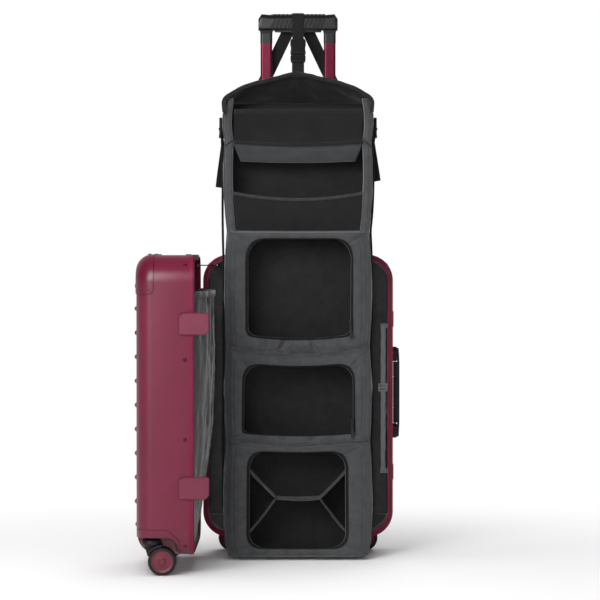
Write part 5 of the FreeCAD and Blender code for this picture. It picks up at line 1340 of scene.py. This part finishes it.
# What each piece moves with and stands for
for obj in (*organiserPieces, hangTab):
    foldDown(obj)
for front in zippedFronts:
    tuckIn(front["cloth"], *front["tuck"])
    tuckIn(front["trim"], *front["tuck"])
    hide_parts("organiser_fronts")
rides = {"rear_case": (rearLining, backPanel, packingStrap, rearScrews),
         "lid": (lidLining, lidScrews, lidDivider, dividerTrim),
         "handle_upper": (hangBuckle, gripRibs, lockHoleShadeDots),
         "side_handle": (sidePad,), "top_handle": (topPad,)}
for body, objs in rides.items():
    for obj in objs:
        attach(obj, body)
for obj in (lidDivider, dividerTrim):
    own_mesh(obj)
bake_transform(hangStraps)
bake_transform(lidStay)
standFor = {organiserSides: "organiser_sides", organiserBack: "organiser_back",
            organiserShelves: "organiser_shelves", organiserHood: "organiser_hood",
            organiserNet: "organiser_net", organiserStretch: "organiser_stretch_panel",
            organiserDividers: "organiser_dividers", sideStraps: "organiser_side_straps",
            hangStraps: "hang_harness", hangBuckle: "strap_buckles",
            rearLining: "rear_lining", backPanel: "rear_back_panel", packingStrap: "packing_strap",
            lidLining: "lid_lining", lidDivider: "lid_divider", lidStay: "lid_stay"}
for obj, node in standFor.items():
    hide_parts(node)

# Camera at the photograph's place; focal is in pixels of its 600 pixel frame
view = {"place": (3.7, -5342.0, 562.0), "focal": 2867.0, "frame": 600, "sensor": 36.0, "tilt": 0.92,
        "reach": 50.0}
camera = bpy.data.cameras.new("camera")
camera.sensor_width = view["sensor"]
camera.lens = view["focal"] / view["frame"] * view["sensor"]
camera.clip_end = view["reach"]
scene.camera = linked("camera", camera)
scene.camera.location = at(*view["place"])
scene.camera.rotation_euler = (math.radians(90 - view["tilt"]), 0, 0)

# Floor: pale near the case, where it takes the shadow, and plain white further off
ground = {"size": 12.0, "pale": "#F4F4F4", "centre": (0.06, 0.1, 0), "near": 0.3, "far": 1.25}
floorMesh = bpy.data.meshes.new("floor")
edge = ground["size"]
floorMesh.from_pydata([(-edge, -edge, 0), (edge, -edge, 0), (edge, edge, 0), (-edge, edge, 0)], [],
                      [(0, 1, 2, 3)])
floorFinish, tree, shader = newFinish("studio floor", Roughness=0.9, Specular_IOR_Level=0.1,
                                      Base_Color=srgb(ground["pale"]))
place = addNode(tree, "ShaderNodeTexCoord")
away = addNode(tree, "ShaderNodeVectorMath", {"operation": "DISTANCE", 0: place.outputs["Object"],
                                              1: ground["centre"]})
fade = addNode(tree, "ShaderNodeMapRange", {"interpolation_type": "SMOOTHSTEP", "From Min": ground["near"],
                                            "From Max": ground["far"], "Value": away.outputs["Value"]})
ray = addNode(tree, "ShaderNodeLightPath").outputs
seen = addNode(tree, "ShaderNodeMath", {"operation": "MAXIMUM", 0: ray["Is Camera Ray"],
                                        1: ray["Is Glossy Ray"]})
shown = addNode(tree, "ShaderNodeMath", {"operation": "MULTIPLY", 0: seen, 1: fade})
white = addNode(tree, "ShaderNodeEmission", {"Color": (1, 1, 1, 1), "Strength": 1.0})
mixed = addNode(tree, "ShaderNodeMixShader", {0: shown, 1: shader, 2: white})
tree.links.new(mixed.outputs["Shader"], tree.nodes["Material Output"].inputs["Surface"])
floorMesh.materials.append(floorFinish)
linked("floor", floorMesh)

# White backdrop for the camera and, behind the case, for reflections; a dim studio lights the rest
studio = {"dim": 0.15, "white": 1.0, "mirrored": 0.5, "from": 0.2, "to": 0.9}
scene.world = bpy.data.worlds.new("studio")
scene.world.use_nodes = True
sky = scene.world.node_tree
sky.nodes.clear()
ray = addNode(sky, "ShaderNodeLightPath").outputs
facing = addNode(sky, "ShaderNodeTexCoord")
parts = addNode(sky, "ShaderNodeSeparateXYZ", {"Vector": facing.outputs["Generated"]})
rear = addNode(sky, "ShaderNodeMapRange", {"interpolation_type": "SMOOTHSTEP", "From Min": studio["from"],
                                           "From Max": studio["to"], "To Max": studio["mirrored"],
                                           "Value": parts.outputs["Y"]})
shine = addNode(sky, "ShaderNodeMath", {"operation": "MULTIPLY", 0: ray["Is Glossy Ray"], 1: rear})
clear = addNode(sky, "ShaderNodeMath", {"operation": "MAXIMUM", 0: ray["Is Camera Ray"],
                                        1: ray["Is Transmission Ray"]})
seen = addNode(sky, "ShaderNodeMath", {"operation": "MAXIMUM", 0: clear, 1: shine})
dim, white = (addNode(sky, "ShaderNodeBackground", {"Color": (1, 1, 1, 1), "Strength": studio[level]})
              for level in ("dim", "white"))
mixed = addNode(sky, "ShaderNodeMixShader", {0: seen, 1: dim, 2: white})
addNode(sky, "ShaderNodeOutputWorld", {"Surface": mixed})

# Place, aim, width and height, power in watts, and whether reflections show it
softboxes = {"key": ((-0.6, -1.9, 1.4), (-0.1, 0, 0.5), (1.0, 1.0), 22, True),
             "sheen": ((-1.45, -3.0, 1.4), (-0.2, 0, 0.4), (1.5, 1.5), 40, True),
             "top": ((-0.3, -0.3, 3.2), (0, 0, 0.3), (2.2, 2.2), 50, False),
             "fill": ((2.2, -3.0, 1.2), (0, 0, 0.5), (1.2, 2.0), 5, True),
             "front": ((0.0, -4.7, 0.66), (-0.05, 0, 0.45), (0.5, 0.5), 70, False),
             "rear": ((0.7, 2.9, 1.7), (0, 0, 0.5), (1.4, 1.4), 45, False)}
for name, (place, aim, size, power, mirrored) in softboxes.items():
    light = bpy.data.lights.new(name, "AREA")
    light.shape = "RECTANGLE"
    light.size, light.size_y = size
    light.energy = power
    lamp = linked(name, light)
    lamp.location = place
    lamp.rotation_euler = (Vector(aim) - Vector(place)).to_track_quat("-Z", "Y").to_euler()
    lamp.visible_glossy = mirrored
scene.view_settings.view_transform = "Standard"
print("camera and light ready")
